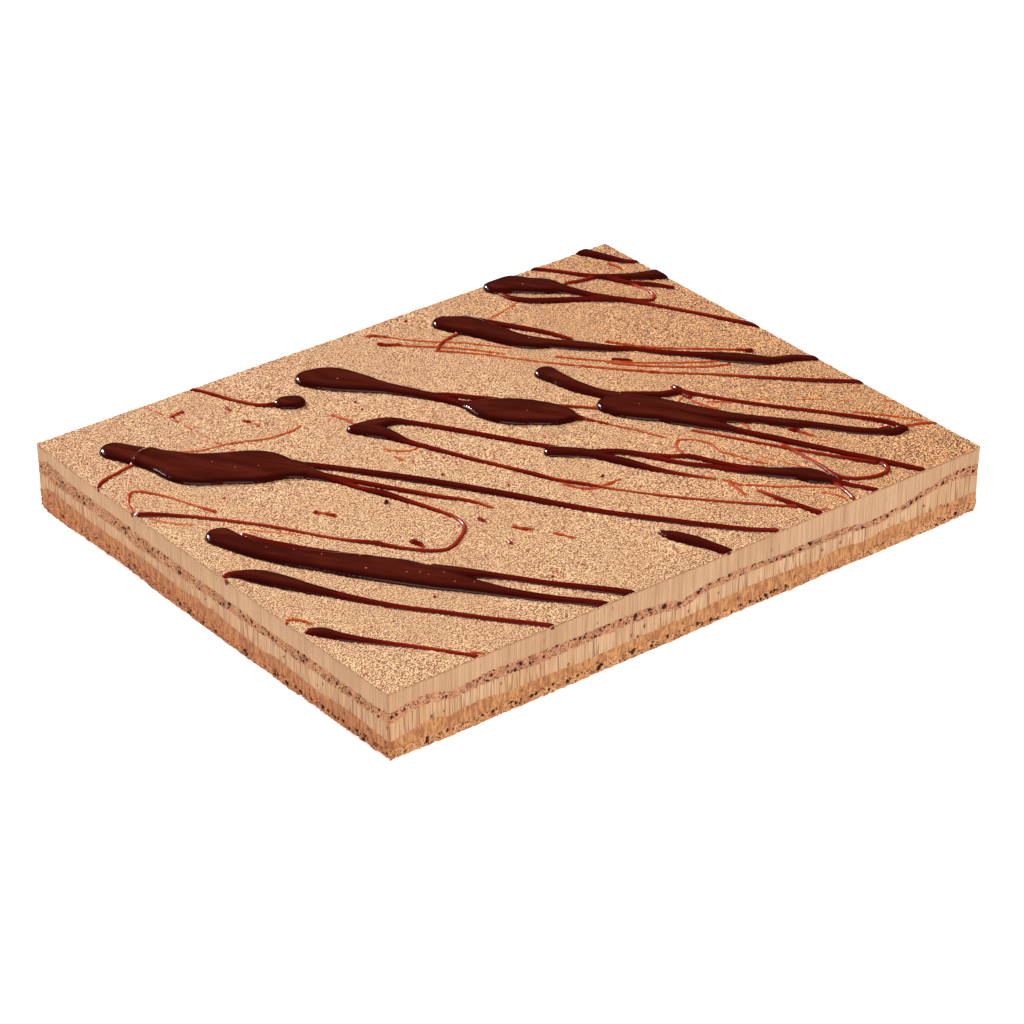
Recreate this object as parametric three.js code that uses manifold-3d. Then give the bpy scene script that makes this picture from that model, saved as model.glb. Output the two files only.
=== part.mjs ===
// A cut sheet of layered mousse cake. From the board up it has a crumbly base sponge, a praline
// crunch, a lower mousse, a thin sponge and a top mousse with melted chocolate drizzled over it.
// Millimetres, +Z up, origin on the board under the middle of the sheet.
import * as THREE from "three";
import { mergeVertices } from "three/addons/utils/BufferGeometryUtils.js";
import Module from "manifold-3d";

const wasm = await Module();
wasm.setup();

// ---- Driving sizes ----------------------------------------------------------------------

const LENGTH = 375; // along X, the long cut side
const DEPTH = 300; // along Y, the short cut side
const TOP = 37.5; // the velvet top above the board
const LAYER_GAP = 0.3; // left between one layer and the next
const RIM_STEP = 10; // spacing of the columns round the cut sides
const INNER_SHARE = 0.8; // inside this share of the sheet each layer lies level
const CORNER_TUCK = 0.5; // the knife rounds each upright corner by this much
const HIDDEN_WAVE = 0.7; // how far the layers of the two far sides wander from the near ones

const POOL_RISE = 3; // the most that the chocolate stands above the velvet
const POOL_SPREAD = 2.4; // half width of a run that has risen to two thirds of that
const ROOT = 1; // how far the chocolate is sunk into the mousse, so that the two fuse
const STRIDE = 8.5; // spacing of the sections along a run of chocolate

// ---- Layer boundaries -------------------------------------------------------------------

// The height of each boundary at distances from the near corner: along the long near side, and
// along the short near side. Inside the sheet the boundary settles to its level.
const BOUNDARIES = {
  spongeTop: {
    level: 25.5,
    long: [
      [0, 27], [18, 29.3], [40, 25.5], [60, 27.2], [90, 26], [150, 25.5], [167, 24], [177, 21.7],
      [190, 24.5], [212, 25.4], [240, 24], [280, 23.8], [299, 21.2], [320, 22.5], [337, 26.2],
      [356, 29.4], [375, 28.5],
    ],
    short: [
      [0, 27], [14, 26], [60, 26.4], [92, 25.6], [175, 26.2], [222, 27.8], [268, 28.2],
      [289, 31.2], [300, 28.5],
    ],
  },
  spongeBottom: {
    level: 20,
    long: [
      [0, 21], [18, 23.3], [40, 20.4], [57, 21], [90, 19.4], [127, 20], [155, 19.7], [176, 16.9],
      [194, 20.5], [215, 20.8], [280, 19.5], [304, 17.2], [320, 18.6], [345, 23.2], [356, 23.9],
      [375, 21.5],
    ],
    short: [
      [0, 21], [12, 20], [62, 20], [78, 19.5], [92, 20.3], [170, 19.5], [210, 18.6], [224, 20.2],
      [275, 20.2], [300, 21.5],
    ],
  },
  crunchTop: {
    level: 11.5,
    long: [
      [0, 11], [24, 14.4], [36, 11.8], [44, 13], [58, 13.1], [67, 11.4], [92, 11.3], [117, 10.3],
      [178, 10.8], [202, 12.2], [228, 12.9], [252, 12.2], [266, 10.9], [280, 12.7], [297, 10.5],
      [314, 12.8], [326, 11.6], [350, 12.1], [375, 12.2],
    ],
    short: [
      [0, 11], [30, 12.4], [56, 11], [92, 12.7], [101, 11], [130, 12.4], [143, 14.1], [150, 12.6],
      [157, 13.9], [168, 12.6], [205, 14.3], [250, 13.6], [289, 15.2], [300, 12.2],
    ],
  },
  crunchBottom: {
    level: 5.4,
    long: [[0, 6], [40, 5.1], [130, 5.2], [230, 4.9], [320, 5.2], [345, 6.3], [375, 7.4]],
    short: [[0, 6], [50, 5.2], [90, 5.6], [140, 5.7], [210, 7.2], [262, 8.4], [300, 7.4]],
  },
};

// ---- Helpers ------------------------------------------------------------------------------

// A repeatable run of numbers from 0 to 1.
function seededDraw(seed) {
  let state = seed;
  return () => {
    state = (Math.imul(state, 1664525) + 1013904223) >>> 0;
    return state / 4294967296;
  };
}

// The height at a distance, eased from one knot to the next.
function heightAt(knots, distance) {
  const next = knots.findIndex(([at]) => at >= distance);
  if (next <= 0) return knots[0][1];
  const [fromAt, from] = knots[next - 1];
  const [toAt, to] = knots[next];
  return THREE.MathUtils.lerp(from, to, THREE.MathUtils.smoothstep(distance, fromAt, toAt));
}

// One column of the cut sides: its place from the near corner, the way out of the cake, which
// pair of sides it is on, how far along that side it is, and whether it is a far side.
function rimColumns() {
  const columns = [];
  const sides = [
    { from: [0, 0], way: [1, 0], out: [0, -1], size: LENGTH, pair: "long", far: false },
    { from: [LENGTH, 0], way: [0, 1], out: [1, 0], size: DEPTH, pair: "short", far: true },
    { from: [LENGTH, DEPTH], way: [-1, 0], out: [0, 1], size: LENGTH, pair: "long", far: true },
    { from: [0, DEPTH], way: [0, -1], out: [-1, 0], size: DEPTH, pair: "short", far: false },
  ];
  sides.forEach(({ from, way, out, size, pair, far }, s) => {
    const count = Math.round(size / RIM_STEP);
    const cornerOut = sides[(s + 3) % 4].out;
    for (let i = 0; i < count; i++) {
      const run = (i * size) / count;
      // The long near side and the short far side both run away from the end where they start.
      const along = pair === "long" ? run : size - run;
      const tuck = i === 0 ? CORNER_TUCK : 0;
      columns.push({
        x: from[0] + way[0] * run - tuck * (out[0] + cornerOut[0]),
        y: from[1] + way[1] * run - tuck * (out[1] + cornerOut[1]),
        out,
        pair,
        along,
        drift: far ? HIDDEN_WAVE * Math.sin((3 * Math.PI * run) / size) : 0,
      });
    }
  });
  return columns;
}

const RIM = rimColumns();

// The height of a boundary at each column of the rim.
function rimHeights({ long, short }) {
  return RIM.map(({ pair, along, drift }) => heightAt(pair === "long" ? long : short, along) + drift);
}

// A ring of points at the rim, moved in by inset(i) and set to height(i).
function rimRing(inset, height) {
  return RIM.map(({ x, y, out }, i) => [
    x - LENGTH / 2 - out[0] * inset(i),
    y - DEPTH / 2 - out[1] * inset(i),
    height(i),
  ]);
}

// The ring inside which a layer lies level.
function innerRing(level) {
  return RIM.map(({ x, y }) => [(x - LENGTH / 2) * INNER_SHARE, (y - DEPTH / 2) * INNER_SHARE, level]);
}

// A closed skin over a stack of rings, from the underside out, up the sides and in over the top.
function loftGeometry(rings) {
  const count = rings[0].length;
  const positions = rings.flat(2);
  const index = [];
  for (let r = 0; r + 1 < rings.length; r++) {
    // The roof is split the same way as the floor of the layer above, so that they stay parallel.
    const roof = r + 2 === rings.length;
    for (let i = 0; i < count; i++) {
      const a = r * count + i;
      const b = r * count + ((i + 1) % count);
      if (roof) index.push(a, b, a + count, b, b + count, a + count);
      else index.push(a, b, b + count, a, b + count, a + count);
    }
  }
  const lid = (ring, offset, flip) => {
    const outline = ring.map(([x, y]) => new THREE.Vector2(x, y));
    for (const [a, b, c] of THREE.ShapeUtils.triangulateShape(outline, [])) {
      index.push(offset + a, offset + (flip ? c : b), offset + (flip ? b : c));
    }
  };
  lid(rings[0], 0, true);
  lid(rings.at(-1), (rings.length - 1) * count, false);
  return new THREE.BufferGeometry()
    .setAttribute("position", new THREE.Float32BufferAttribute(positions, 3))
    .setIndex(index);
}

function solidFrom(geometry) {
  const bare = geometry.clone();
  bare.deleteAttribute("normal");
  bare.deleteAttribute("uv");
  const merged = mergeVertices(bare, 1e-4);
  return new wasm.Manifold(
    new wasm.Mesh({
      numProp: 3,
      vertProperties: new Float32Array(merged.attributes.position.array),
      triVerts: new Uint32Array(merged.index.array),
    }),
  );
}

function geometryFrom(solid) {
  const { vertProperties, triVerts } = solid.getMesh();
  return new THREE.BufferGeometry()
    .setAttribute("position", new THREE.BufferAttribute(vertProperties, 3))
    .setIndex(new THREE.BufferAttribute(triVerts, 1));
}

function namedMesh(name, geometry, colour, roughness) {
  const material = new THREE.MeshStandardMaterial({ color: colour, roughness, metalness: 0 });
  const mesh = new THREE.Mesh(geometry, material);
  mesh.name = name;
  return mesh;
}

// ---- Layers ---------------------------------------------------------------------------------

// A layer from one boundary up to the next. Each point of its cut face stands back by an even
// amount and by up to `rough` more at random, and its lowest row by `drag` besides.
function layerGeometry(below, above, { seed, back, rough, drag }) {
  const draw = seededDraw(seed);
  const low = rimHeights(below).map((height) => height + LAYER_GAP / 2);
  const high = rimHeights(above).map((height) => height - LAYER_GAP / 2);
  const row = (share, behind) => {
    const insets = RIM.map(() => behind + rough * draw());
    return rimRing((i) => insets[i], (i) => THREE.MathUtils.lerp(low[i], high[i], share));
  };
  return loftGeometry([
    innerRing(below.level + LAYER_GAP / 2),
    row(0, back + drag),
    row(0.5, back),
    row(1, back),
    innerRing(above.level - LAYER_GAP / 2),
  ]);
}

// The base sponge stands on a flat underside. Its lower edge is torn and chipped, most at the
// corners, so it lifts off the board by an uneven amount.
function baseGeometry({ seed, back, rough }) {
  const FOOT_BACK = 1.8; // the flat underside starts at least this far in
  const EDGE_BACK = 0.4; // the torn edge hangs at least this far in
  const TORN = 1; // more of both, where crumbs have come away
  const CHIP_BACK = 2.4; // how far a chipped corner is cut back at the foot
  const CHIP_UNDER = 1; // and at the torn edge above it
  const CHIP_REACH = 16; // how far from a corner it is chipped
  const LEAST_LIFT = 0.2; // height of the torn edge above the board
  const TORN_LIFT = 0.9; // more, where crumbs have come away
  const draw = seededDraw(seed);
  const high = rimHeights(BOUNDARIES.crunchBottom).map((height) => height - LAYER_GAP / 2);
  const chips = RIM.map(({ pair, along }) => {
    const size = pair === "long" ? LENGTH : DEPTH;
    return Math.max(0, 1 - Math.min(along, size - along) / CHIP_REACH);
  });
  const torn = RIM.map(() => draw());
  const foot = RIM.map((_, i) => FOOT_BACK + TORN * torn[i] + CHIP_BACK * chips[i]);
  const edge = RIM.map((_, i) => EDGE_BACK + TORN * torn[i] * draw() + CHIP_UNDER * chips[i]);
  const lift = RIM.map((_, i) => LEAST_LIFT + TORN_LIFT * torn[i] + 0.5 * chips[i]);
  return loftGeometry([
    rimRing((i) => foot[i], () => 0),
    rimRing((i) => edge[i], (i) => lift[i]),
    rimRing(() => back + rough * draw(), (i) => 0.6 * high[i]),
    rimRing(() => back + rough * draw(), (i) => high[i]),
    innerRing(BOUNDARIES.crunchBottom.level - LAYER_GAP / 2),
  ]);
}

// The top mousse before the chocolate goes on: smooth knife-cut sides under a crisp level top.
function topMousseGeometry({ seed, drag, rough }) {
  const draw = seededDraw(seed);
  const low = rimHeights(BOUNDARIES.spongeTop).map((height) => height + LAYER_GAP / 2);
  return loftGeometry([
    innerRing(BOUNDARIES.spongeTop.level + LAYER_GAP / 2),
    rimRing(() => drag + rough * draw(), (i) => low[i]),
    rimRing(() => drag / 2 + rough * draw(), (i) => (low[i] + TOP) / 2),
    rimRing(() => 0, () => TOP),
  ]);
}

// ---- Chocolate --------------------------------------------------------------------------------

// Each run of chocolate goes through hand-placed stations: x and y from the near corner, and half
// of its width there. A run that ends past a side of the sheet is cut there, as the cake was.
const RUNS = [
  // The pool near the left corner, and the three tails that it draws out into.
  [
    [26.5, 267.7, 7.9], [34.8, 252.6, 9.1], [40.7, 241.5, 11.2], [47.4, 227.4, 15.2], [61.1, 217.8, 15.5],
    [73.7, 209.4, 15.8], [81.8, 200.9, 10.3], [88.6, 192.2, 6.7], [93, 183.9, 2.9],
  ],
  [
    [89.1, 199.8, 4], [98.1, 191.8, 2.8], [123.1, 158.8, 3.1], [150.1, 118.8, 2.9], [180.7, 68.9, 2.2],
    [195.6, 48.8, 2.4], [211.1, 28.8, 2.3], [226.9, 10.1, 2], [237.1, 1.3, 1.7],
  ],
  [
    [89.1, 189.8, 4], [99.1, 175.8, 2.3], [115.6, 148.8, 2], [128.1, 128.8, 1.8], [137.1, 116.8, 1.4],
    [142.1, 104.8, 0.9],
  ],
  [
    [90.1, 186.8, 4.5], [97.1, 174.8, 2.6], [102.1, 160.8, 1.8], [108.1, 148.8, 2.7], [112.1, 137.8, 2],
    [118.1, 120.8, 1.5], [121.6, 107.8, 1.3], [120.1, 98.8, 1.3], [110.1, 90.3, 1.3], [100.1, 86.3, 1.4],
    [92.1, 90.3, 1.5], [83.1, 100.8, 1.5], [75.6, 112.8, 1.9], [65.2, 125.6, 1.2], [45, 157.3, 1.3],
    [23.1, 185.8, 1.4], [8.1, 201.3, 1.9], [-4.9, 213.8, 2.2],
  ],
  [[-4.9, 240.8, 1.4], [5.1, 246, 1.4], [15.1, 248.3, 1.2], [31.1, 251.8, 1.3]],
  // The line that falls from the far side into a round drop.
  [[93.1, 303.8, 1.5], [100.1, 288.8, 1.5], [106.6, 272.8, 1.4], [113.1, 262.3, 1.6], [121.1, 257.3, 3]],
  [[124.4, 256.1, 6.3], [128.1, 254, 6.5]],
  // The thick run that starts in a blob by the short near side and forks.
  [
    [19.9, 163.6, 7.8], [22, 154.6, 7.2], [26.4, 142.2, 6.9], [34.5, 128.1, 7.6], [45.8, 112.8, 8.6],
    [58, 96.7, 10.2], [68.5, 82.8, 10.8], [78.3, 66.4, 8.7], [89.1, 49, 5.5], [96.8, 36.6, 4],
    [110.5, 18.6, 3], [134.1, -7.2, 2.4],
  ],
  [[30.1, 158.8, 1.6], [33.1, 148.8, 2.5], [45.6, 128.8, 2.4], [59.1, 109.8, 2.6], [65.1, 101.8, 3]],
  [
    [83.1, 74.9, 4.2], [90.9, 65.3, 4.2], [105, 48.4, 2.6], [118.6, 29.8, 2.4], [136.1, 8.8, 2.7],
    [149.1, -6.2, 2.4],
  ],
  // The two short hooks by the near corner, and the spindle on the long near side.
  [
    [-5.9, 126.8, 1.3], [1.1, 133.3, 1.6], [7.3, 128.5, 3.3], [12.9, 121.1, 5.6], [19.2, 109.9, 5.5],
    [25.1, 98.3, 4.3], [36.1, 78.8, 2.7], [48.5, 58.9, 2.1], [64.1, 39.3, 1.9], [79.4, 18.8, 1.9],
    [100.1, -5.2, 1.8],
  ],
  [
    [3.4, 66.9, 2.1], [7.1, 62.3, 3.6], [11.8, 53.6, 3.2], [16.8, 46.1, 2.8], [23.9, 37.1, 2],
    [38.1, 19.3, 1.4], [55.1, -5.2, 1.5],
  ],
  [[191.6, 33.3, 2.4], [194.1, 27.3, 4], [198.6, 17.5, 4.2], [202.7, 7.5, 3.3], [208.1, -7.2, 3]],
  // The fork in the middle of the sheet.
  [
    [135.6, 211.3, 4.2], [141.1, 204.8, 5.8], [145.7, 196.6, 4.7], [149.4, 183.7, 2.4], [155.6, 168.8, 2],
    [163.9, 150.2, 1.7], [171.8, 133.7, 1.5], [178.6, 118.8, 1.9], [184.5, 106, 1.5], [191.7, 95.7, 1.6],
    [202.1, 79.8, 1], [221.1, 54.8, 1.1], [244.6, 28.8, 1.1], [260.1, 12.8, 1.3],
  ],
  [
    [139.1, 210.8, 4.6], [148.5, 208.3, 5.1], [155.4, 206.5, 3.8], [162.6, 198.8, 2.5],
    [176.1, 178.8, 2.2], [194.1, 148.8, 2.1], [204.6, 132.3, 2],
  ],
  // The two linked pools behind it.
  [
    [150, 269.7, 8.7], [157.6, 263.7, 11.8], [164.7, 253.1, 9.9], [174.4, 237.8, 5.5],
    [182.8, 224.2, 4.4], [190.6, 210.1, 3.2], [196.6, 196.8, 3.8], [203.4, 184.6, 10.2],
    [211.2, 175.4, 13.3], [219, 167.6, 12.1], [225.9, 159.1, 9.9], [231.2, 153, 4.5], [236.1, 146.8, 1.2],
  ],
  [[187.1, 217.8, 2.6], [196.1, 210.8, 2.3], [204.1, 201.3, 2.3], [213.1, 191.8, 1.8]],
  [[228.1, 173.8, 1.3], [236.1, 164.8, 1.3], [251.1, 148.8, 1.2]],
  // The run that braids and gathers into a pool by the long near side.
  [
    [200.2, 130, 4.6], [205.6, 125.3, 4.6], [212.8, 118.2, 4.1], [218.1, 108.6, 3.3], [223.4, 98, 3.4],
    [228.4, 87, 2.5], [235.6, 74.1, 1.7], [247.1, 58.3, 0.9],
  ],
  [
    [216.1, 117.8, 2.4], [225.1, 111.3, 2.6], [232.1, 102.8, 2.6], [238.1, 91.8, 1.9], [245.6, 78.8, 2],
    [253.6, 68.8, 2.2], [261.1, 57.3, 2.3], [270.2, 48.9, 3.8], [276, 42.7, 4.7], [283.1, 36.3, 5.4],
    [286.8, 30.1, 6.4], [290.6, 23.3, 4.2], [294.1, 15.8, 2.2], [305.1, -4.2, 2],
  ],
  [
    [234.1, 100.8, 1.8], [245.1, 89.3, 1.8], [251.6, 83.8, 2.3], [257.1, 73.8, 2.1], [265.1, 59.3, 2],
    [272.1, 50.8, 2.6],
  ],
  [[291.1, 18.8, 1.5], [290.6, 10.8, 1.4], [286.1, -6.2, 1.3]],
  [[256.4, 36.8, 1], [258.1, 28.8, 1.4], [260.1, 18.8, 2], [263.1, 8.8, 2], [266.6, -6.2, 2]],
  [
    [297.1, 64.8, 1.2], [298.1, 38.8, 1.2], [298.1, 19.8, 1.7], [306.1, 12.8, 1.6], [315.1, 9.8, 1.6],
    [322.1, 12.3, 1.5], [324.1, 19.8, 1.7],
  ],
  [[271.1, 103.8, 1.1], [294.1, 63.8, 1.3], [307.1, 42.8, 1.4], [321.1, 20.8, 1.9]],
  // The neck that runs into the forked pool, and the tails of that pool.
  [[251.1, 198.3, 6.6], [252.2, 189, 5.7], [254.1, 176.8, 5.1], [258.5, 164.5, 4.3], [263.1, 155.8, 4.6]],
  [
    [255.6, 149.4, 8.5], [261.6, 143, 11.9], [267.1, 135.2, 11.8], [271.2, 128.4, 9.8],
    [272.8, 119.4, 6.9], [281.1, 103.8, 5.2], [290.1, 86.8, 2.7], [299.6, 68.8, 2.8], [315.4, 38.7, 2.3],
    [325.1, 19.3, 2.5], [338.1, -6.2, 1.9],
  ],
  [
    [273.6, 134.6, 7.6], [278.9, 126.6, 6.6], [287.2, 112.6, 5.8], [296.9, 98.9, 4.7], [305.6, 90.2, 3.7],
    [312.9, 80.1, 4.4], [323.7, 69, 3.3], [335.7, 52.9, 3.2], [344.4, 43.6, 3.3], [351, 38.5, 3.5],
    [357.1, 38.3, 3],
  ],
  [
    [268.1, 155.8, 2.4], [276.1, 148.8, 3], [284.1, 142.8, 3], [292.1, 139.8, 2.8], [297.6, 132.3, 1.9],
    [305.8, 118.8, 1.7], [319.1, 99.3, 1.8], [335.1, 78.8, 1.7], [349.1, 58.8, 2], [355.6, 47.8, 2.3],
    [357.6, 39.8, 2],
  ],
  [[294.6, 147.8, 1], [294.4, 141.8, 2.4], [293.1, 131.8, 1.8]],
  // The long run across the far half, and the line that crosses it.
  [
    [244, 276.7, 7.4], [249.6, 269, 9.4], [254.4, 259.3, 8.8], [261.4, 239.6, 7], [267, 230.1, 6.3],
    [275.2, 222.4, 4.4], [284.4, 212, 4.7], [295.3, 200, 3.4], [305.5, 191.2, 2.3], [315.2, 178, 2.5],
    [329.1, 163.3, 3.2], [337, 153.7, 4.8], [345.6, 144.3, 4.8], [353.6, 136, 3.8], [364.7, 131, 3.4],
    [378.1, 120.8, 1.9],
  ],
  [
    [256.1, 274.8, 3.4], [263.1, 263.8, 2.8], [272.6, 248.8, 2.4], [280.1, 236.3, 2.1],
    [286.1, 221.3, 1.7],
  ],
  [[222.1, 254.8, 1.2], [228.1, 259.5, 1.3], [235.1, 262.3, 1.2], [245.1, 263.3, 1.3]],
  [[299.2, 162.4, 0.9], [319.4, 143.6, 1.1], [339.1, 122.8, 1.6], [359.1, 103.3, 2], [379.1, 85.3, 2.2]],
  // The pool on the long far side, its two tails, and the runs in the far corner.
  [
    [293.7, 294.1, 8.4], [301.2, 291.2, 9.5], [307, 284.7, 8.6], [313.8, 278.1, 8.2], [319.1, 270.3, 4.8],
    [326.6, 256.8, 2.9], [335.1, 242.5, 2.6], [344.1, 228.8, 1.8], [359.2, 202.1, 1.6], [371.1, 178.8, 2],
    [379.1, 163.8, 2.2],
  ],
  [
    [289.6, 286.8, 1.3], [291.4, 278.3, 2.3], [296.6, 270.3, 2.9], [308.1, 261.8, 2.9],
    [322.1, 252.3, 2.6], [335.1, 241.8, 2.7], [345.1, 232.8, 1.8], [351.1, 230.1, 1.4],
    [355.6, 235.3, 1.2], [355.1, 245.8, 1], [351.1, 260.8, 1.4],
  ],
  [
    [319.1, 304.8, 2.2], [332.1, 287.8, 1.8], [341.6, 273.8, 2.2], [349.1, 265.8, 3.2],
    [359.1, 258.8, 3.5], [367.1, 254.3, 4.6], [383.1, 246.8, 6.5],
  ],
  [[321.1, 271.8, 1.6], [326.1, 274.1, 1.5], [334.1, 271.8, 1.6], [343.1, 270.8, 1.7]],
  [[348.1, 264.8, 2], [354.1, 253.3, 2.2], [362.1, 244.1, 2.4], [368.6, 234.8, 1.8]],
  [[354.1, 305.8, 4], [360.1, 293.3, 3.8], [365.1, 282.8, 3.2], [370.1, 274.3, 2.1], [379.1, 268.8, 1.2]],
];

// Across a run: how far out each point is, as a share of the half width, and its share of the rise.
const SECTION = [[-1, 0], [-0.68, 0.74], [0, 1], [0.68, 0.74], [1, 0]];

// Melted chocolate spreads to a flat puddle, so a wide run is hardly thicker than a narrow one.
function riseOf(halfWidth) {
  return POOL_RISE * (1 - Math.exp(-halfWidth / POOL_SPREAD));
}

// The round end of a run: how far past its last station, and how wide there, as shares of the half
// width at that station.
const ROUND_END = [[0.5, 0.85], [0.9, 0.45]];

// The stations smoothed and spaced evenly, with narrowing ones past each end to round it off.
function spacedStations(stations) {
  const knots = stations.map(([x, y, half]) => new THREE.Vector3(x, y, half));
  const route = new THREE.CatmullRomCurve3(knots, false, "centripetal");
  const steps = Math.max(2, Math.round(route.getLength() / STRIDE));
  const spaced = route.getSpacedPoints(steps);
  const roundEnd = (end, before) => {
    const way = new THREE.Vector2(end.x - before.x, end.y - before.y).setLength(end.z);
    return ROUND_END.map(
      ([reach, share]) => new THREE.Vector3(end.x + way.x * reach, end.y + way.y * reach, end.z * share),
    );
  };
  const head = roundEnd(spaced[0], spaced[1]).reverse();
  const tail = roundEnd(spaced.at(-1), spaced.at(-2));
  return [...head, ...spaced, ...tail];
}

function runSolid(stations) {
  const spaced = spacedStations(stations);
  const rings = spaced.map((station, i) => {
    const before = spaced[Math.max(0, i - 1)];
    const after = spaced[Math.min(spaced.length - 1, i + 1)];
    const way = new THREE.Vector2(after.x - before.x, after.y - before.y).normalize();
    const place = (out, z) => [
      station.x - way.y * station.z * out - LENGTH / 2,
      station.y + way.x * station.z * out - DEPTH / 2,
      z,
    ];
    const rise = riseOf(station.z);
    const crown = SECTION.map(([out, share]) => place(out, TOP + share * rise));
    return [...crown, place(1, TOP - ROOT), place(-1, TOP - ROOT)];
  });
  const sides = rings[0].length;
  const index = [];
  for (let r = 0; r + 1 < rings.length; r++) {
    for (let i = 0; i < sides; i++) {
      const a = r * sides + i;
      const b = r * sides + ((i + 1) % sides);
      index.push(a, a + sides, b + sides, a, b + sides, b);
    }
  }
  const lastRing = (rings.length - 1) * sides;
  for (let i = 1; i + 1 < sides; i++) {
    index.push(0, i, i + 1);
    index.push(lastRing, lastRing + i + 1, lastRing + i);
  }
  return solidFrom(
    new THREE.BufferGeometry()
      .setAttribute("position", new THREE.Float32BufferAttribute(rings.flat(2), 3))
      .setIndex(index),
  );
}

// The top mousse with every run of chocolate fused to it, cut off at the sides of the sheet.
function drizzledTopGeometry(cut) {
  const reach = 2 * (POOL_RISE + ROOT);
  const sheet = new THREE.BoxGeometry(LENGTH, DEPTH, reach).translate(0, 0, TOP);
  const chocolate = RUNS.map(runSolid)
    .reduce((joined, run) => joined.add(run))
    .intersect(solidFrom(sheet));
  return geometryFrom(solidFrom(topMousseGeometry(cut)).add(chocolate));
}

// ---- The sheet --------------------------------------------------------------------------------

const { spongeTop, spongeBottom, crunchTop, crunchBottom } = BOUNDARIES;
const baseCut = { seed: 11, back: 0.3, rough: 0.6 };
const crunchCut = { seed: 59, back: 0.4, rough: 0.35, drag: 0.3 };
const lowerCut = { seed: 47, back: 0.2, rough: 0.15, drag: 0.2 };
const spongeCut = { seed: 31, back: 0.15, rough: 0.5, drag: 0.1 };
const topCut = { seed: 23, drag: 0.2, rough: 0.2 };

const cake = new THREE.Group();
cake.add(
  namedMesh("base_sponge", baseGeometry(baseCut), 0xb4764a, 0.9),
  namedMesh("praline_crunch", layerGeometry(crunchBottom, crunchTop, crunchCut), 0xbd7c46, 0.75),
  namedMesh("mousse_lower", layerGeometry(crunchTop, spongeBottom, lowerCut), 0xd8ae80, 0.6),
  namedMesh("sponge_mid", layerGeometry(spongeBottom, spongeTop, spongeCut), 0xb48a68, 0.9),
  namedMesh("mousse_top", drizzledTopGeometry(topCut), 0xdbaa7a, 0.6),
);

export default cake;
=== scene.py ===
# %% [markdown]
# # A cut sheet of layered mousse cake
# The cake is a slab of five layers under a sprayed velvet coat, with melted chocolate drizzled over
# it. Its solids are packed already, so this notebook only dresses them: every piece below stands
# where a packed layer stands and takes over its looks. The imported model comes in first, because all
# the sizes hang on it.

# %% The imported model
import math
import random

import bmesh
import bpy
import numpy as np
from mathutils import Matrix, Vector, geometry, noise


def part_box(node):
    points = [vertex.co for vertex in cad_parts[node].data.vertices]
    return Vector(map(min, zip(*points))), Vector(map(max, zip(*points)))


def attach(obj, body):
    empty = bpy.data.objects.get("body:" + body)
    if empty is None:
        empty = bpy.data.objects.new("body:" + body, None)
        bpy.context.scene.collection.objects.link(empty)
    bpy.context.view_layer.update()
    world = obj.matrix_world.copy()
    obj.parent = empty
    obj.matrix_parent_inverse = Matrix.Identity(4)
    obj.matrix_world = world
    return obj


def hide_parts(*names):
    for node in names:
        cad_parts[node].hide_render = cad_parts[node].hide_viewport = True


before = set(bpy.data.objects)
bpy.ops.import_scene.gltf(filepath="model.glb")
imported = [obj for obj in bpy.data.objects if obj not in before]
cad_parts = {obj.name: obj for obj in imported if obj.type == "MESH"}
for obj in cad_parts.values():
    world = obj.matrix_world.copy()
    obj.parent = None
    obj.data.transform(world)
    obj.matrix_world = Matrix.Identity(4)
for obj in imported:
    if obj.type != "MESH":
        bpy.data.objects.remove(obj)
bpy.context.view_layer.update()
print("packed layers:", ", ".join(sorted(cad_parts)))

# %% [markdown]
# ## Working in millimetres
# Blender thinks in metres and a baker in millimetres. All shapes are worked out in millimetres from
# the near corner of the sheet, x along the long cut side and y along the short one, as one would
# measure it with a ruler. One function turns them into Blender's metres about the middle of the
# sheet, so the numbers stay easy to read.

# %% Sizes of the sheet
MM = 0.001
top_low, top_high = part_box("mousse_top")
LENGTH = round((top_high.x - top_low.x) / MM, 3)
DEPTH = round((top_high.y - top_low.y) / MM, 3)
TOP = 37.5  # the velvet above the board
POOL_RISE = 3  # the most that the chocolate stands above the velvet
POOL_SPREAD = 2.4  # half width of a run that has risen to two thirds of that
ROUND_TRIP = 2 * (LENGTH + DEPTH)


def in_metres(points):
    """Millimetres from the near corner as metres about the middle of the sheet."""
    return (np.asarray(points, float) - (LENGTH / 2, DEPTH / 2, 0)) * MM


print(f"sheet {LENGTH} x {DEPTH} mm, velvet at {TOP} mm, {ROUND_TRIP} mm round the cut sides")

# %% [markdown]
# ## The camera
# The photograph looks down at the near corner from about 30 degrees, from almost two metres away
# through a long lens. The corners of the slab in the picture give the angle, the distance and the
# lens together: a slab of known proportions fits its outline from one place only.

# %% Camera
LOOK_ROUND = -38.27  # degrees about the upright, 0 looks along +Y
LOOK_DOWN = 29.94
CAMERA_SPOT = (-1.0453, -1.32825, 0.97205)  # metres
LENS = 133.6  # mm
SENSOR = 36  # mm
FARTHEST = 50  # metres that the camera sees

camera = bpy.data.objects.new("camera", bpy.data.cameras.new("camera"))
camera.data.lens = LENS
camera.data.sensor_width = SENSOR
camera.data.clip_end = FARTHEST
camera.location = CAMERA_SPOT
camera.rotation_euler = (math.radians(90 - LOOK_DOWN), 0, math.radians(LOOK_ROUND))
bpy.context.scene.collection.objects.link(camera)
bpy.context.scene.camera = camera
print("camera looks down", LOOK_DOWN, "degrees through", LENS, "mm")

# %% [markdown]
# ## Light
# The shadows in the photograph fall towards the long near side and are about twice as long as the
# chocolate is thick, so the main light is low, behind the cake on the far side, and not very large.
# It stands well back, because the velvet is as light at the front as at the back. Broad soft lights
# above and in front lift the two near faces. In the photograph they leave hardly a trace in the
# glossy chocolate, only a hair line along its near edges. So they are hidden from reflections here,
# two strips draw the glints and the hair line, and the world is kept dim.

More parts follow.
